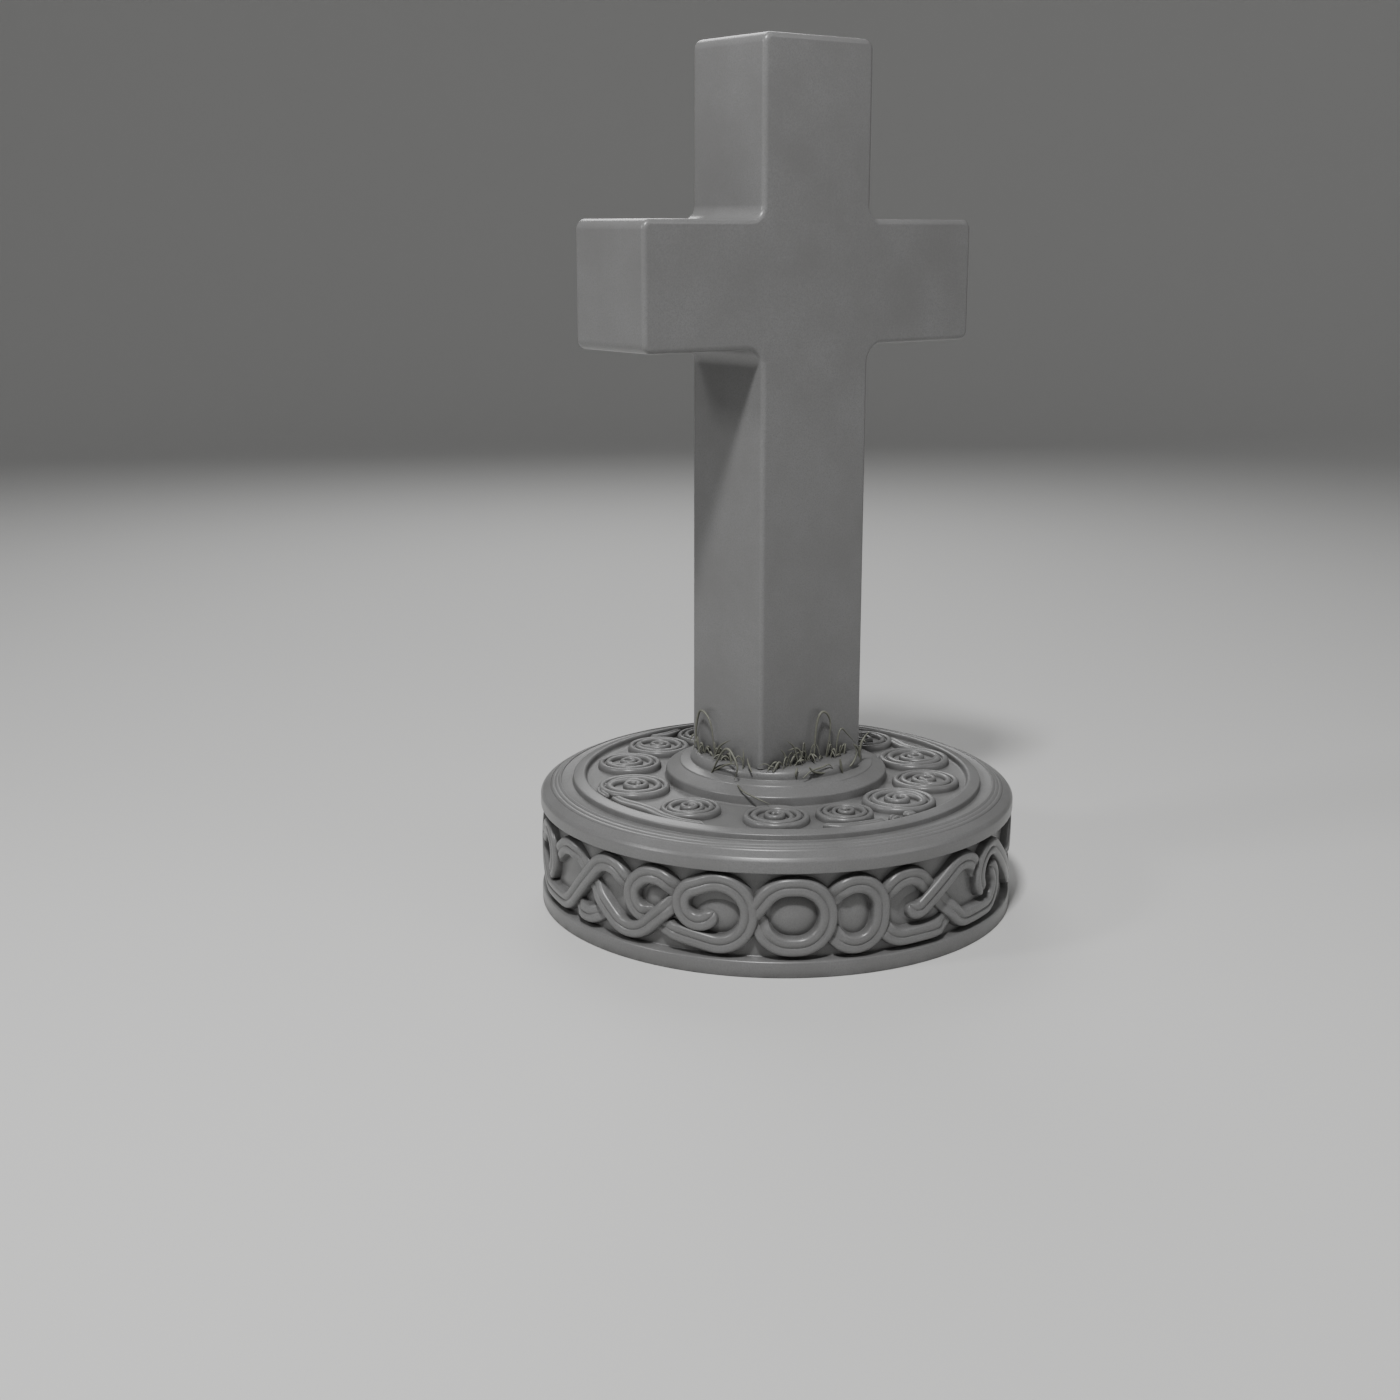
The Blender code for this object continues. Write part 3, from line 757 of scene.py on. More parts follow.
def join_shapes(shapes):
    """One list of vertices and one of faces from several shapes."""
    vertices, faces = [], []
    for shape_vertices, shape_faces in shapes:
        shift = len(vertices)
        vertices += shape_vertices
        faces += [tuple(corner + shift for corner in face) for face in shape_faces]
    return vertices, faces


def placed(name, data):
    """A new object of this mesh, curve, light or camera, in the scene."""
    obj = bpy.data.objects.new(name, data)
    bpy.context.scene.collection.objects.link(obj)
    return obj


def mesh_object(name, vertices, faces):
    """An object of its own with this mesh, its faces turned outwards and shaded smooth."""
    mesh = bpy.data.meshes.new(name)
    mesh.from_pydata(vertices, [], faces)
    shape = bmesh.new()
    shape.from_mesh(mesh)
    bmesh.ops.recalc_face_normals(shape, faces=shape.faces)
    shape.to_mesh(mesh)
    shape.free()
    mesh.shade_smooth()
    mesh.set_sharp_from_angle(angle=SMOOTH_ANGLE)
    return placed(name, mesh)


plinth = mesh_object(
    "carved_plinth",
    *join_shapes([(drum_vertices, drum_faces)] + frieze + cushions + bosses + leaves),
)
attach(plinth, "root")
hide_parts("plinth")
plinth.data.calc_loop_triangles()
print("carved plinth:", len(plinth.data.loop_triangles), "triangles")

# %% [markdown]
# ## The cross
#
# The cross is a single block with eased edges, small round fillets under and over the arms,
# and faces that draw together slightly towards the top. A flat outline cut through the
# thickness gives all of that: a 2D curve with a bevel rounds the edges evenly. A last pass over
# the points makes it thinner upwards, and a level cut leaves its foot flat and crisp.

# %% Make the cross
SHAFT_WIDTH = 0.2200
FOOT_THICKNESS = cross_high.y - cross_low.y
THINNING = 0.972
CROSS_FOOT = cross_low.z
CROSS_HEIGHT = cross_high.z - cross_low.z
ARM_SPAN = cross_high.x - cross_low.x
ARM_HEIGHT = 0.1945
ARM_RAISE = 0.6730
EDGE_ROUNDING = 0.008
EDGE_STEPS = 4
CORNER_ROUNDING = 0.016
UPPER_FILLET = 0.021
LOWER_FILLET = 0.031
FILLET_STEPS = 8
FOOT_WASTE = 0.020
WELD_DISTANCE = 0.00005


def cross_corners():
    """The corners of the cross seen from the front."""
    half_shaft = SHAFT_WIDTH / 2
    half_span = ARM_SPAN / 2
    arm_top = ARM_RAISE + ARM_HEIGHT
    right = [
        (half_shaft, -FOOT_WASTE, EDGE_ROUNDING),
        (half_shaft, ARM_RAISE, LOWER_FILLET),
        (half_span, ARM_RAISE, CORNER_ROUNDING),
        (half_span, arm_top, CORNER_ROUNDING),
        (half_shaft, arm_top, UPPER_FILLET),
        (half_shaft, CROSS_HEIGHT, CORNER_ROUNDING),
    ]
    return right + [(-x, z, radius) for x, z, radius in reversed(right)]


def mesh_of_curve(curve):
    """The mesh that a curve and its bevel make."""
    drawn = placed(curve.name, curve)
    bpy.context.view_layer.update()
    graph = bpy.context.evaluated_depsgraph_get()
    mesh = bpy.data.meshes.new_from_object(drawn.evaluated_get(graph))
    bpy.data.objects.remove(drawn, do_unlink=True)
    return mesh


def outline_mesh(points, thickness, rounding):
    """A flat outline made into a block with rounded edges, as a mesh."""
    curve = bpy.data.curves.new("outline", "CURVE")
    curve.dimensions = "2D"
    curve.fill_mode = "BOTH"
    curve.extrude = thickness / 2 - rounding
    curve.bevel_depth = rounding
    curve.bevel_resolution = EDGE_STEPS
    curve.offset = -rounding
    spline = curve.splines.new("POLY")
    spline.points.add(len(points) - 1)
    for spot, (x, z) in zip(spline.points, points):
        spot.co = (x, z, 0.0, 1.0)
    spline.use_cyclic_u = True
    return mesh_of_curve(curve)


def finish_cross(mesh):
    """Welds the block, cuts its foot level, thins it upwards and stands it in place."""
    shape = bmesh.new()
    shape.from_mesh(mesh)
    bmesh.ops.remove_doubles(shape, verts=shape.verts, dist=WELD_DISTANCE)
    everything = list(shape.verts) + list(shape.edges) + list(shape.faces)
    cut = bmesh.ops.bisect_plane(
        shape, geom=everything, plane_co=(0, 0, 0), plane_no=(0, -1, 0), clear_outer=True
    )
    rim = [part for part in cut["geom_cut"] if isinstance(part, bmesh.types.BMEdge)]
    bmesh.ops.edgeloop_fill(shape, edges=rim)
    for corner in shape.verts:
        x, z, depth = corner.co
        thinning = 1 + (THINNING - 1) * z / CROSS_HEIGHT
        corner.co = (x, -depth * thinning, z + CROSS_FOOT)
    bmesh.ops.recalc_face_normals(shape, faces=shape.faces)
    shape.to_mesh(mesh)
    shape.free()


cross_outline = rounded_line(cross_corners(), FILLET_STEPS, closed=True)
cross_mesh = outline_mesh(cross_outline, FOOT_THICKNESS, EDGE_ROUNDING)
finish_cross(cross_mesh)
cross_mesh.shade_smooth()
cross_mesh.set_sharp_from_angle(angle=SMOOTH_ANGLE)
cross = placed("plain_cross", cross_mesh)
even_shading = cross.modifiers.new("flat faces stay flat", "WEIGHTED_NORMAL")
even_shading.keep_sharp = True
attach(cross, "root")
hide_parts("cross")
print("cross:", len(cross_mesh.polygons), "faces")

# %% [markdown]
# ## Grass at the foot
#
# Thin blades of grass have taken root in the joint round the shaft. Most are short and curl
# over, two long ones stand up and bend back in a loop. A blade is a curve with a round bevel
# whose radius shrinks towards its tip, which stays light and needs no faces made by hand. What
# grows in the joint starts a little way inside it.

# %% A helper for blades
BLADE_RADIUS = 0.0015
BLADE_POINTS = 16
ROOT_THICKNESS = 0.75
MIDDLE_SWELL = 0.5
TIP_THINNING = 0.75
BEND_POWER = 0.9
BEND_SHARE = 0.98


def blade_curve(curve, points, thickness=1.0):
    """Adds one blade along smooth points, thin at its root and thinner at its tip."""
    spline = curve.splines.new("POLY")
    spline.points.add(len(points) - 1)
    for index, (spot, place) in enumerate(zip(spline.points, points)):
        share = index / (len(points) - 1)
        swell = ROOT_THICKNESS + MIDDLE_SWELL * math.sin(math.pi * share)
        spot.co = (*place, 1.0)
        spot.radius = thickness * swell * (1 - TIP_THINNING * share**4)


def bent_points(root, heading, reach, height, fall, twist=0.0):
    """A blade that rises, leans over, turns by twist and comes down to a height of fall."""
    points = []
    x, y, level = root
    for step in range(BLADE_POINTS + 1):
        share = step / BLADE_POINTS
        up = height * math.sin(math.pi * BEND_SHARE * share**BEND_POWER) + fall * share
        points.append((x, y, level + up))
        x += reach / BLADE_POINTS * math.cos(heading + twist * share)
        y += reach / BLADE_POINTS * math.sin(heading + twist * share)
    return points


def blade_object(name, blades):
    """One object of several blades; each is a list of points and a thickness."""
    curve = bpy.data.curves.new(name, "CURVE")
    curve.dimensions = "3D"
    curve.bevel_depth = BLADE_RADIUS
    curve.bevel_resolution = 2
    curve.use_fill_caps = True
    for points, thickness in blades:
        blade_curve(curve, points, thickness)
    mesh = mesh_of_curve(curve)
    mesh.name = name
    mesh.shade_smooth()
    obj = placed(name, mesh)
    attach(obj, "root")
    return obj


sample = bent_points((0, 0, 0), heading=0, reach=0.02, height=0.03, fall=0)
print("a sample blade leans out", round(sample[-1][0], 3), "m")

# %% [markdown]
# ## Materials
#
# The stone is one close-grained grey kind. It needs four things: a soft mottling, a fine
# speckle, painted shade in the hollows, and edges made paler, partly by wear and partly as a
# painted highlight. Each effect is a node group with its settings outside, so that the same
# group serves the drum and the cross.

# %% Helpers for nodes
def fill(tree, socket, value):
    """Feeds an input with the output of another node, or sets it to a plain value."""
    if isinstance(value, bpy.types.NodeSocket):
        tree.links.new(value, socket)
    else:
        socket.default_value = value


def add_node(tree, kind, settings=None, values=None):
    """A node with some of its settings and inputs filled in."""
    node = tree.nodes.new(kind)
    for label, value in (settings or {}).items():
        setattr(node, label, value)
    for label, value in (values or {}).items():
        fill(tree, node.inputs[label], value)
    return node


def reckoned(tree, operation, *values, clamp=False):
    """The outcome of one step of arithmetic."""
    settings = {"operation": operation, "use_clamp": clamp}
    return add_node(tree, "ShaderNodeMath", settings, dict(enumerate(values))).outputs["Value"]


def ranged(tree, value, source, target=(0.0, 1.0)):
    """A value stretched from one range to another, and kept inside it."""
    values = {"Value": value, "From Min": source[0], "From Max": source[1],
              "To Min": target[0], "To Max": target[1]}
    return add_node(tree, "ShaderNodeMapRange", values=values).outputs["Result"]


def noise(tree, place, **values):
    """A noise over the surface, as values round the middle of 0 to 1."""
    values["Vector"] = place
    return add_node(tree, "ShaderNodeTexNoise", values=values).outputs["Fac"]


def open_group(name, inputs):
    """A new shader node group, and what comes in at its named inputs."""
    group = bpy.data.node_groups.new(name, "ShaderNodeTree")
    for label, value in inputs.items():
        kind = "NodeSocketVector" if isinstance(value, tuple) else "NodeSocketFloat"
        socket = group.interface.new_socket(label, in_out="INPUT", socket_type=kind)
        socket.default_value = value
    return group, group.nodes.new("NodeGroupInput").outputs


def close_group(group, results):
    """Gives the group its named outputs, each a value."""
    for label in results:
        group.interface.new_socket(label, in_out="OUTPUT", socket_type="NodeSocketFloat")
    add_node(group, "NodeGroupOutput", values=results)
    return group


ORIGIN = (0.0, 0.0, 0.0)
print("helpers ready")

# %% [markdown]
# Grain comes first. A large noise gives the soft clouds that such stone has, a smaller one the
# crystals, and a few dark specks stand for the mica. The same noises also drive the bump, so
# that what looks grainy is also slightly rough.

# %% The grain of the stone
SPECK_SCALE = 260.0
SPECK_EDGE = (0.08, 0.24)
CLOUD_HEIGHT = 0.35


def grain_group():
    """Mottle and speckle as values, and a height for the bump."""
    group, given = open_group(
        "stone_grain", {"Position": ORIGIN, "Cloud Scale": 7.0, "Crystal Scale": 420.0}
    )
    place = given["Position"]
    clouds = noise(group, place, Scale=given["Cloud Scale"], Detail=6.0, Roughness=0.62)
    crystals = noise(group, place, Scale=given["Crystal Scale"], Detail=3.0, Roughness=0.7)
    specks = add_node(group, "ShaderNodeTexVoronoi", None, {"Vector": place, "Scale": SPECK_SCALE})
    dark = ranged(group, specks.outputs["Distance"], SPECK_EDGE)
    return close_group(group, {
        "Mottle": clouds,
        "Speckle": reckoned(group, "MULTIPLY", crystals, dark),
        "Height": reckoned(group, "MULTIPLY_ADD", clouds, CLOUD_HEIGHT, crystals),
    })


STONE_GRAIN = grain_group()
print("made", STONE_GRAIN.name)

# %% [markdown]
# Ambient occlusion finds the hollows: it asks how much of the sky a point sees close by. There
# the stone is darkened as painted shade, and made duller. A noise breaks the mask up, so that
# the painted shade has an uneven edge.

# %% Painted shade in the hollows
HOLLOW_RANGE = (0.85, 0.25)


def patchy(group, given, mask, patches):
    """A mask broken up by patches of noise and weakened by the group's Amount."""
    broken = reckoned(group, "MULTIPLY", mask, patches)
    return reckoned(group, "MULTIPLY", broken, given["Amount"], clamp=True)


def hollow_group():
    """A mask of places that lie deep between others, broken up by noise: where shade is painted.
    """
    group, given = open_group("painted_hollow_shade", {"Position": ORIGIN, "Reach": 0.02, "Amount": 0.8})
    shade = add_node(group, "ShaderNodeAmbientOcclusion", {"samples": 8},
                     {"Distance": given["Reach"]})
    hollow = ranged(group, shade.outputs["AO"], HOLLOW_RANGE)
    patches = noise(group, given["Position"], Scale=45.0, Detail=4.0)
    patches = ranged(group, patches, (0.3, 0.65), (0.45, 1.0))
    return close_group(group, {"Mask": patchy(group, given, hollow, patches)})


PAINTED_HOLLOW_SHADE = hollow_group()
print("made", PAINTED_HOLLOW_SHADE.name)

# %% [markdown]
# Edges and ridges get rubbed and show fresher, paler stone, and the same paler colour also
# stands in for the light they catch, as a painted highlight. The bevel node gives the normal as
# if the edges were rounder than they are. Where that differs from the true normal there is an
# edge, so the difference is the mask.

# %% Worn edges with a painted highlight
EDGE_RANGE = (0.995, 0.90)


def wear_and_highlight_group():
    """A mask along edges and ridges, for wear and a painted highlight."""
    group, given = open_group("edge_wear_and_painted_highlight", {"Position": ORIGIN, "Width": 0.004, "Amount": 0.6})
    rounder = add_node(group, "ShaderNodeBevel", {"samples": 4}, {"Radius": given["Width"]})
    true_normal = add_node(group, "ShaderNodeNewGeometry").outputs["Normal"]
    alike = add_node(group, "ShaderNodeVectorMath", {"operation": "DOT_PRODUCT"},
                     {0: rounder.outputs["Normal"], 1: true_normal})
    edge = ranged(group, alike.outputs["Value"], EDGE_RANGE)
    patches = noise(group, given["Position"], Scale=90.0, Detail=5.0)
    patches = ranged(group, patches, (0.35, 0.6), (0.3, 1.0))
    return close_group(group, {"Mask": patchy(group, given, edge, patches)})


EDGE_WEAR_AND_HIGHLIGHT = wear_and_highlight_group()
print("made", EDGE_WEAR_AND_HIGHLIGHT.name)

# %% [markdown]
# The gutter between the ring and the lined band still shows the tool: fine strokes that point
# to the middle. They are too small to model, so a wave round the drum makes them in the bump,
# and a mask keeps it inside the gutter.

# %% Tool strokes in the gutter
def strokes_group():
    """A height with fine strokes round the drum, between two radii."""
    group, given = open_group(
        "gutter_strokes", {"Position": ORIGIN, "Inner": 0.3, "Outer": 0.4, "Strokes": 260.0}
    )
    parts = add_node(group, "ShaderNodeSeparateXYZ", None, {"Vector": given["Position"]}).outputs
    bearing = reckoned(group, "ARCTAN2", parts["Y"], parts["X"])
    wave = reckoned(group, "SINE", reckoned(group, "MULTIPLY", bearing, given["Strokes"]))
    flat = add_node(group, "ShaderNodeCombineXYZ", None, {"X": parts["X"], "Y": parts["Y"]})
    length = add_node(group, "ShaderNodeVectorMath", {"operation": "LENGTH"},
                      {0: flat.outputs["Vector"]})
    radius = length.outputs["Value"]
    beyond = reckoned(group, "GREATER_THAN", radius, given["Inner"])
    within = reckoned(group, "LESS_THAN", radius, given["Outer"])
    mask = reckoned(group, "MULTIPLY", beyond, within)
    return close_group(group, {"Height": reckoned(group, "MULTIPLY", wave, mask)})


GUTTER_STROKES = strokes_group()
print("made", GUTTER_STROKES.name)

# %% [markdown]
# The stone itself mixes these. The mottling moves between two greys and two degrees of polish,
# the speckle darkens some crystals, painted shade darkens the hollows and they are dulled, and
# the edges are paler, partly from wear and partly as a painted highlight of the satin lines
# they catch.

# %% Helpers for materials
FACTOR, FIRST_COLOUR, SECOND_COLOUR, MIXED_COLOUR = 0, 6, 7, 2


def use_group(tree, group, values):
    """The outputs of a group, placed in a material with values of its own."""
    return add_node(tree, "ShaderNodeGroup", {"node_tree": group}, values).outputs


def mixed(tree, factor, first, second):
    """A colour mix; first and second are colours or sockets."""
    values = {FACTOR: factor, FIRST_COLOUR: first, SECOND_COLOUR: second}
    mix = add_node(tree, "ShaderNodeMix", {"data_type": "RGBA"}, values)
    return mix.outputs[MIXED_COLOUR]


def bumped(tree, height, strength, distance, below=None):
    """The normal that a height gives, on top of another one where there is one."""
    values = {"Height": height, "Strength": strength, "Distance": distance}
    if below is not None:
        values["Normal"] = below
    return add_node(tree, "ShaderNodeBump", values=values).outputs["Normal"]


def new_material(name):
    """A material and its nodes."""
    material = bpy.data.materials.new(name)
    material.use_nodes = True
    return material, material.node_tree


def feed_shader(tree, values):
    """Fills in inputs of the material's own shader."""
    for label, value in values.items():
        fill(tree, tree.nodes["Principled BSDF"].inputs[label], value)


def dress(obj, material):
    """Gives an object this one material."""
    obj.data.materials.clear()
    obj.data.materials.append(material)


print("helpers for materials ready")

# %% The stone material
MOTTLE_RANGE = (0.36, 0.64)
CRYSTAL_RANGE = (0.25, 0.65)
POLISH = (0.24, 0.36)
HOLLOW_DULLNESS = 0.35


def grey(value, warmth=0.0):
    """A grey, a touch warmer where warmth is above 0."""
    return (value * (1 + warmth), value, value * (1 - warmth), 1)


def stone_material(name, tone, gutter=None):
    """Close-grained grey stone; gutter gives the two radii between which tool strokes show."""
    material, tree = new_material(name)
    place = add_node(tree, "ShaderNodeTexCoord").outputs["Object"]
    grain = use_group(tree, STONE_GRAIN, {"Position": place})
    painted_shade = use_group(tree, PAINTED_HOLLOW_SHADE, {"Position": place, "Reach": 0.024, "Amount": 0.95})
    worn_and_highlit_edges = use_group(tree, EDGE_WEAR_AND_HIGHLIGHT, {"Position": place, "Width": 0.0030, "Amount": 0.22})
    clouds = ranged(tree, grain["Mottle"], MOTTLE_RANGE)
    crystals = ranged(tree, grain["Speckle"], CRYSTAL_RANGE)
    body = mixed(tree, clouds, grey(tone * 0.9, 0.01), grey(tone * 1.08))
    body = mixed(tree, crystals, grey(tone * 0.80), body)
    # Painted shade: the hollows that ambient occlusion finds are darkened.
    body = mixed(tree, painted_shade["Mask"], body, grey(tone * 0.24, 0.03))
    # Painted highlight, partly real wear: edges and ridges are made paler.
    body = mixed(tree, worn_and_highlit_edges["Mask"], body, grey(tone * 1.5))
    polish = ranged(tree, grain["Mottle"], (0.0, 1.0), POLISH)
    roughness = reckoned(tree, "MULTIPLY_ADD", painted_shade["Mask"], HOLLOW_DULLNESS, polish, clamp=True)
    tooled = None
    if gutter:
        places = {"Position": place, "Inner": gutter[0], "Outer": gutter[1]}
        strokes = use_group(tree, GUTTER_STROKES, places)
        tooled = bumped(tree, strokes["Height"], strength=0.10, distance=0.0004)
    feed_shader(tree, {
        "Base Color": body,
        "Roughness": roughness,
        "Normal": bumped(tree, grain["Height"], strength=0.16, distance=0.0005, below=tooled),
    })
    return material


STONE_TONE = 0.19
HONED_TONE = STONE_TONE * 1.05
STROKE_MARGIN = 0.002
gutter_radii = (RING_OUTER_RADIUS + STROKE_MARGIN, GUTTER_RADIUS - STROKE_MARGIN)
dress(plinth, stone_material("carved stone", STONE_TONE, gutter_radii))
dress(cross, stone_material("honed stone", HONED_TONE))
print("stone on", plinth.name, "and", cross.name)

# %% [markdown]
# ## Blades where they grow
#
# The grass is dry: dull, and uneven in colour. One fine noise is enough for that on blades so
# thin, and it drives the colour, the roughness and the bump together.

# %% Grass material
OLD_GRASS = (0.10, 0.105, 0.085, 1)
DRY_GRASS = (0.24, 0.24, 0.20, 1)
GRASS_ROUGHNESS = (0.4, 0.65)


def grass_material():
    """Dry grass: dull and uneven in colour."""
    material, tree = new_material("dry grass")
    place = add_node(tree, "ShaderNodeTexCoord").outputs["Object"]
    streaks = noise(tree, place, Scale=160.0, Detail=3.0)
    feed_shader(tree, {
        "Base Color": mixed(tree, streaks, OLD_GRASS, DRY_GRASS),
        "Roughness": ranged(tree, streaks, (0.0, 1.0), GRASS_ROUGHNESS),
        "Normal": bumped(tree, streaks, strength=0.3, distance=0.0002),
    })
    return material


GRASS = grass_material()
print("made", GRASS.name)

# %% [markdown]
# The blades that catch the eye are drawn one by one: two tall loops, one on the left face and
# one on the front face, and low ones that lie over the rounded side of the pad. Each has a
# face of the shaft, a distance out of it, a thickness and knots (along, up). Only the
# thickness is a factor, all else is in millimetres from the corner of the shaft's foot.

# %% The drawn blades
HALF_SHAFT = SHAFT_WIDTH / 2
HALF_FOOT = FOOT_THICKNESS / 2
BLADE_STEPS = 7
FACES = {
    "left": ((-HALF_SHAFT, -HALF_FOOT), (0, 1), (-1, 0)),
    "front": ((-HALF_SHAFT, -HALF_FOOT), (1, 0), (0, -1)),
    "right": ((HALF_SHAFT, -HALF_FOOT), (0, 1), (1, 0)),
    "back": ((-HALF_SHAFT, HALF_FOOT), (1, 0), (0, 1)),
}
BLADES = (
    ("left", 10, 1.15, ((149, -3), (159, 30), (147, 71), (119, 56), (107, -3))),
    ("left", 36, 1.2, ((84, -19), (56, 22), (36, 32), (15, 8), (23, -16))),
    ("left", 18, 1.1, ((100, -3), (84, 24), (55, 42))),
    ("left", 34, 0.9, ((86, -17), (61, -3), (34, 9), (13, 10))),
    ("left", 14, 0.8, ((28, -2), (26, 18), (28, 32))),
    ("left", 14, 0.9, ((5, -2), (13, 9), (17, 19))),
    ("front", 10, 1.15, ((106, -3), (112, 62), (126, 80), (142, 58), (134, -3))),
    ("front", 14, 0.8, ((151, -2), (155, 30), (163, 46), (177, 34), (197, 14))),
    ("front", 14, 1.2, ((60, -2), (76, 12), (66, 28), (47, 28))),
    ("front", 14, 0.8, ((70, -2), (60, 30), (43, 46))),
    ("front", 12, 0.9, ((46, -2), (42, 20), (32, 32))),
    ("front", 16, 0.9, ((14, -2), (26, 12), (40, -2))),
    ("front", 40, 1.1, ((45, 5), (42, -4), (44, -13))),
    ("front", 52, 1.1, ((60, 6), (69, -3), (87, -9), (96, -9))),
    ("front", 52, 0.8, ((47, -10), (65, -1), (87, 1), (103, 3), (113, -7))),
    ("front", 54, 1.2, ((125, 9), (128, -5), (132, -18))),
    ("front", 46, 1.0, ((142, -13), (159, -8), (169, 9), (162, 27))),
    ("front", 24, 1.3, ((198, -13), (193, 8), (180, 19))),
    ("front", 24, 1.1, ((196, -13), (200, 18), (218, 35))),
)


def beside(face, along, out, up):
    """A point beside the shaft's foot, in millimetres along a face, out of it and up."""
    corner, line, outwards = FACES[face]
    return tuple(
        corner[axis] + (line[axis] * along + outwards[axis] * out) / MM for axis in (0, 1)
    ) + (PAD_TOP + up / MM,)


def drawn_blade(face, out, knots):
    """Points of a blade at one distance out of a face, through knots (along, up)."""
    return [beside(face, along, out, up) for along, up in smooth_line(knots, BLADE_STEPS)]


drawn = [(drawn_blade(face, out, knots), thick) for face, out, thick, knots in BLADES]
dress(blade_object("grass_blades", drawn), GRASS)
print("drawn blades:", len(drawn))

# %% [markdown]
# Between these, short blades stand in clumps in the joint and curl over in all directions.
# They come from a random generator with a fixed start, so that they are the same every time.
# A clump is a place along a face, its half length, a number of blades and their height. The
# two faces at the back get a few clumps in keeping.

# %% The short blades in the joint
random = np.random.default_rng(7)
ROOT_SINK = 2.0
MOST_REACH = 0.030
ROOT_DISTANCES = (3, 16)
HEIGHT_SHARES = (0.3, 1.0)
HEIGHT_POWER = 1.5
REACH_SHARES = (0.25, 1.0)
OUT_SHARES = (-0.1, 0.6)
FALLS = (0.0, 0.008)
TWISTS = (-2.2, 2.2)
THICKNESSES = (0.55, 1.05)
CLUMPS = (
    ("left", 138, 16, 7, 26), ("left", 98, 16, 7, 22), ("left", 50, 26, 5, 18),
    ("front", 26, 16, 4, 14), ("front", 60, 12, 6, 22), ("front", 102, 10, 6, 34),
    ("front", 132, 10, 5, 30), ("front", 176, 26, 6, 20),
    ("right", 30, 20, 5, 20), ("right", 120, 26, 7, 24),
    ("back", 40, 26, 6, 20), ("back", 150, 30, 7, 24),
)


def clump(face, along, half_length, count, tallest):
    """Short blades round one place, each curled over in a direction of its own."""
    blades = []
    for _ in range(count):
        place = along + random.uniform(-half_length, half_length)
        root = beside(face, place, random.uniform(*ROOT_DISTANCES), -ROOT_SINK)
        height = tallest * random.uniform(*HEIGHT_SHARES) ** HEIGHT_POWER / MM
        reach = random.uniform(*REACH_SHARES) * MOST_REACH
        side = random.choice((-1, 1))
        _, line, outwards = FACES[face]
        out_share = random.uniform(*OUT_SHARES)
        heading = math.atan2(side * line[1] + out_share * outwards[1],
                             side * line[0] + out_share * outwards[0])
        fall = random.uniform(*FALLS)
        points = bent_points(root, heading, reach, height, fall, random.uniform(*TWISTS))
        blades.append((points, random.uniform(*THICKNESSES)))
    return blades


tufts = [blade for settings in CLUMPS for blade in clump(*settings)]
dress(blade_object("grass_tufts", tufts), GRASS)
print("short blades:", len(tufts))

# %% [markdown]
# One blade has come loose. It lies on the disc and hangs over its edge, so it is drawn by knots
# in metres, in the frame's own axes.

# %% The blade that lies over the disc
STRAY_BLADE = ((-0.1475, -0.079, 0.2330), (-0.1560, -0.104, 0.2300), (-0.1500, -0.135, 0.2235),
               (-0.1470, -0.163, 0.2205))
stray = smooth_line(STRAY_BLADE, BLADE_STEPS)
dress(blade_object("grass_stray", [([tuple(spot) for spot in stray], 0.8)]), GRASS)
print("one stray blade")

# %% [markdown]
# ## Floor, light and camera
#
# The floor is a wide pale dish whose rim curves up, so that no horizon shows from any side. The
# main light is high on the left. It makes the left sides a little lighter than the front, and
# throws a soft shadow under the arm. One at the side, a weak one on the right and a broad one
# behind open the shadows. The camera has the photograph's angle, from as high as the arms.

# %% Floor
FLOOR_RADIUS = 7.0
COVE_RADIUS = 4.0
COVE_POINTS = 13
FLOOR_SIDES = 96
floor_profile = [(0.0, 0.0)] + [
    (FLOOR_RADIUS + COVE_RADIUS * math.sin(angle), COVE_RADIUS * (1 - math.cos(angle)))
    for angle in np.linspace(0, math.pi / 2, COVE_POINTS)
]


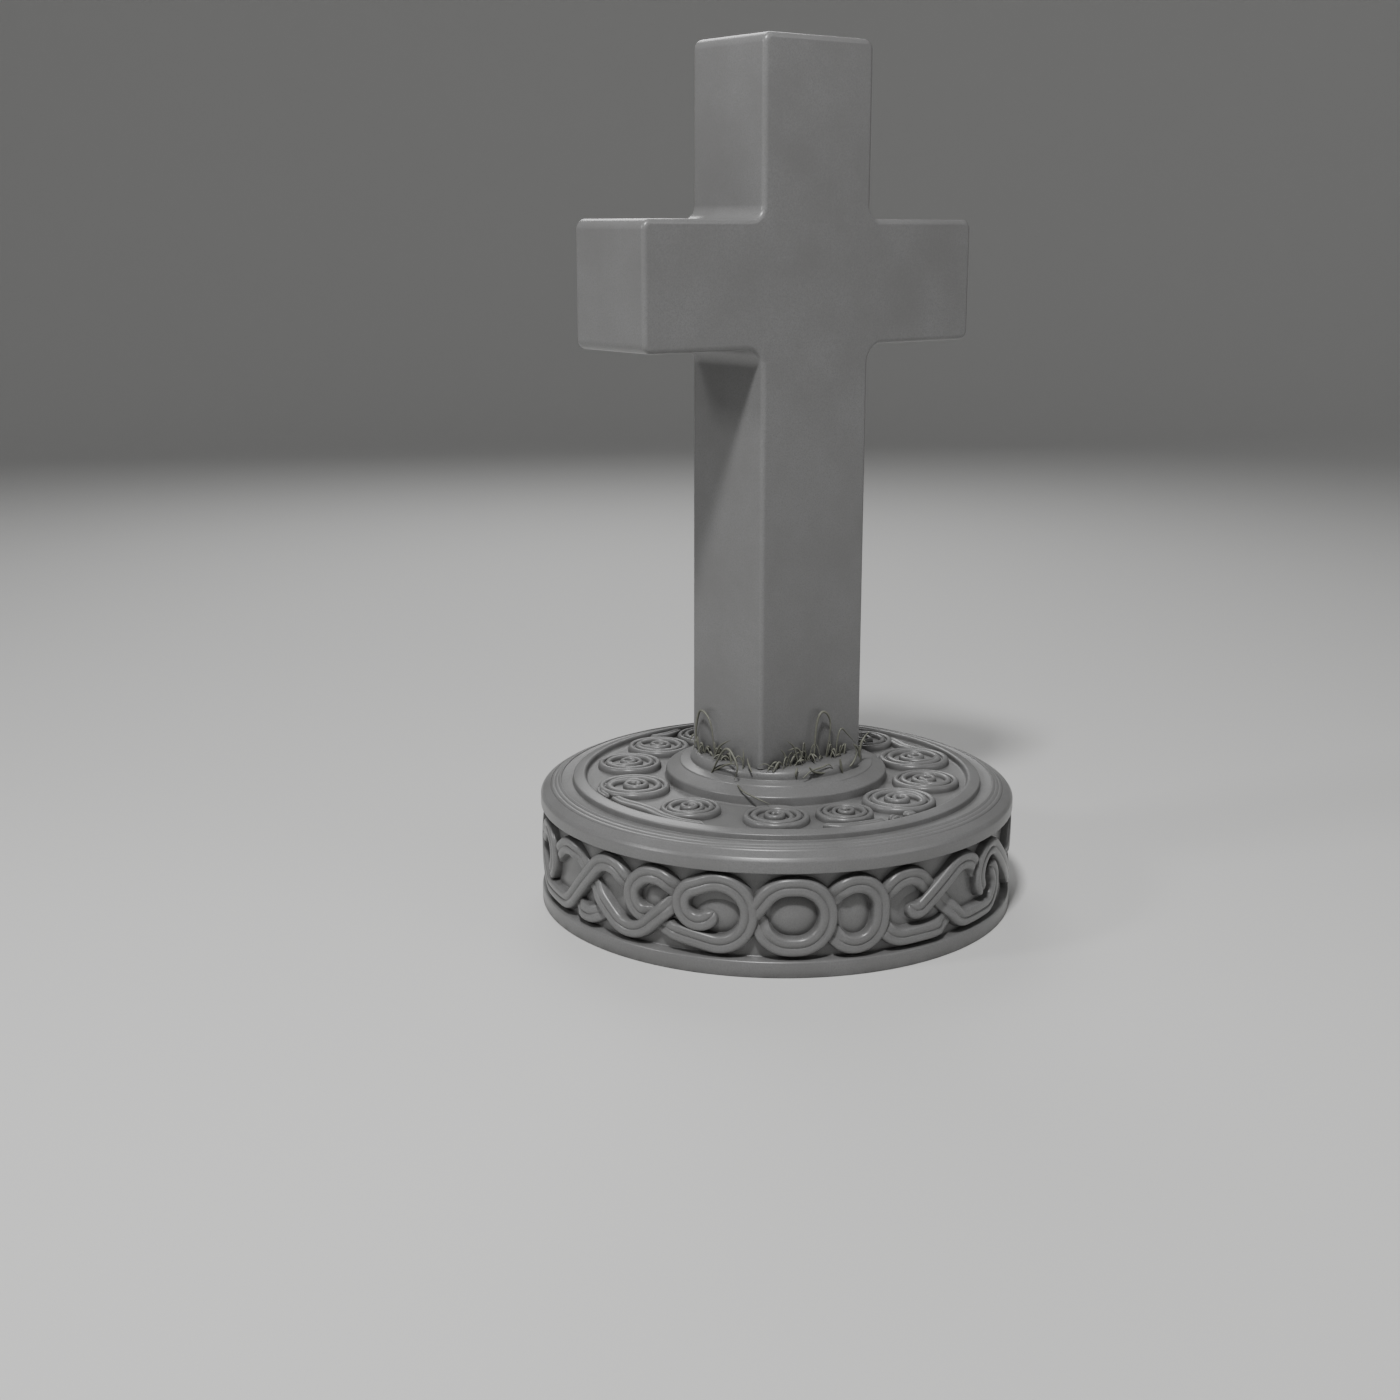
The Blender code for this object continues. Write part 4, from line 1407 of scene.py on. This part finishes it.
def dish(profile, sides):
    """A turned, open surface, from the middle outwards."""
    vertices = [(0.0, 0.0, profile[0][1])] + turned_rings(profile[1:], sides)
    return vertices, fan_faces(0, 1, sides) + ring_faces(1, len(profile) - 1, sides)


floor_vertices, floor_faces = dish(floor_profile, FLOOR_SIDES)
floor_mesh = bpy.data.meshes.new("floor")
floor_mesh.from_pydata(floor_vertices, [], floor_faces)
floor_mesh.shade_smooth()
floor = placed("floor", floor_mesh)
floor_material, floor_nodes = new_material("pale floor")
feed_shader(floor_nodes, {"Base Color": (0.72, 0.72, 0.71, 1), "Roughness": 0.85})
dress(floor, floor_material)
print("floor", 2 * (FLOOR_RADIUS + COVE_RADIUS), "m across")

# %% Lights and camera
LOOK_AT = (0.0, 0.0, 0.6)


def soft_light(name, bearing, distance, height, size, power):
    """A square area light round the object that points at its middle."""
    data = bpy.data.lights.new(name, "AREA")
    data.size = size
    data.energy = power
    light = placed(name, data)
    light.location = on_drum(math.radians(bearing), distance, height)
    towards = light.location - Vector(LOOK_AT)
    light.rotation_euler = towards.to_track_quat("Z", "Y").to_euler()


soft_light("key", bearing=-50, distance=2.3, height=4.1, size=0.45, power=160)
soft_light("side", bearing=-104, distance=3.6, height=2.6, size=0.6, power=34)
soft_light("fill", bearing=30, distance=4.5, height=3.4, size=2.4, power=24)
soft_light("back", bearing=150, distance=4.0, height=3.5, size=2.5, power=75)

world = bpy.data.worlds.new("studio")
bpy.context.scene.world = world
world.use_nodes = True
backdrop = world.node_tree.nodes["Background"]
backdrop.inputs["Color"].default_value = (1.0, 1.0, 1.0, 1)
backdrop.inputs["Strength"].default_value = 0.10

CAMERA_PLACE = (-1.9566, -2.3176, 1.1062)
CAMERA_TILT = 75.75
CAMERA_TURN = -37.73
CAMERA_LENS = 47.61

camera_data = bpy.data.cameras.new("camera")
camera_data.lens = CAMERA_LENS
camera_data.sensor_width = 36.0
camera = placed("camera", camera_data)
camera.location = CAMERA_PLACE
camera.rotation_euler = (math.radians(CAMERA_TILT), 0.0, math.radians(CAMERA_TURN))
bpy.context.scene.camera = camera
print("camera at", CAMERA_PLACE)
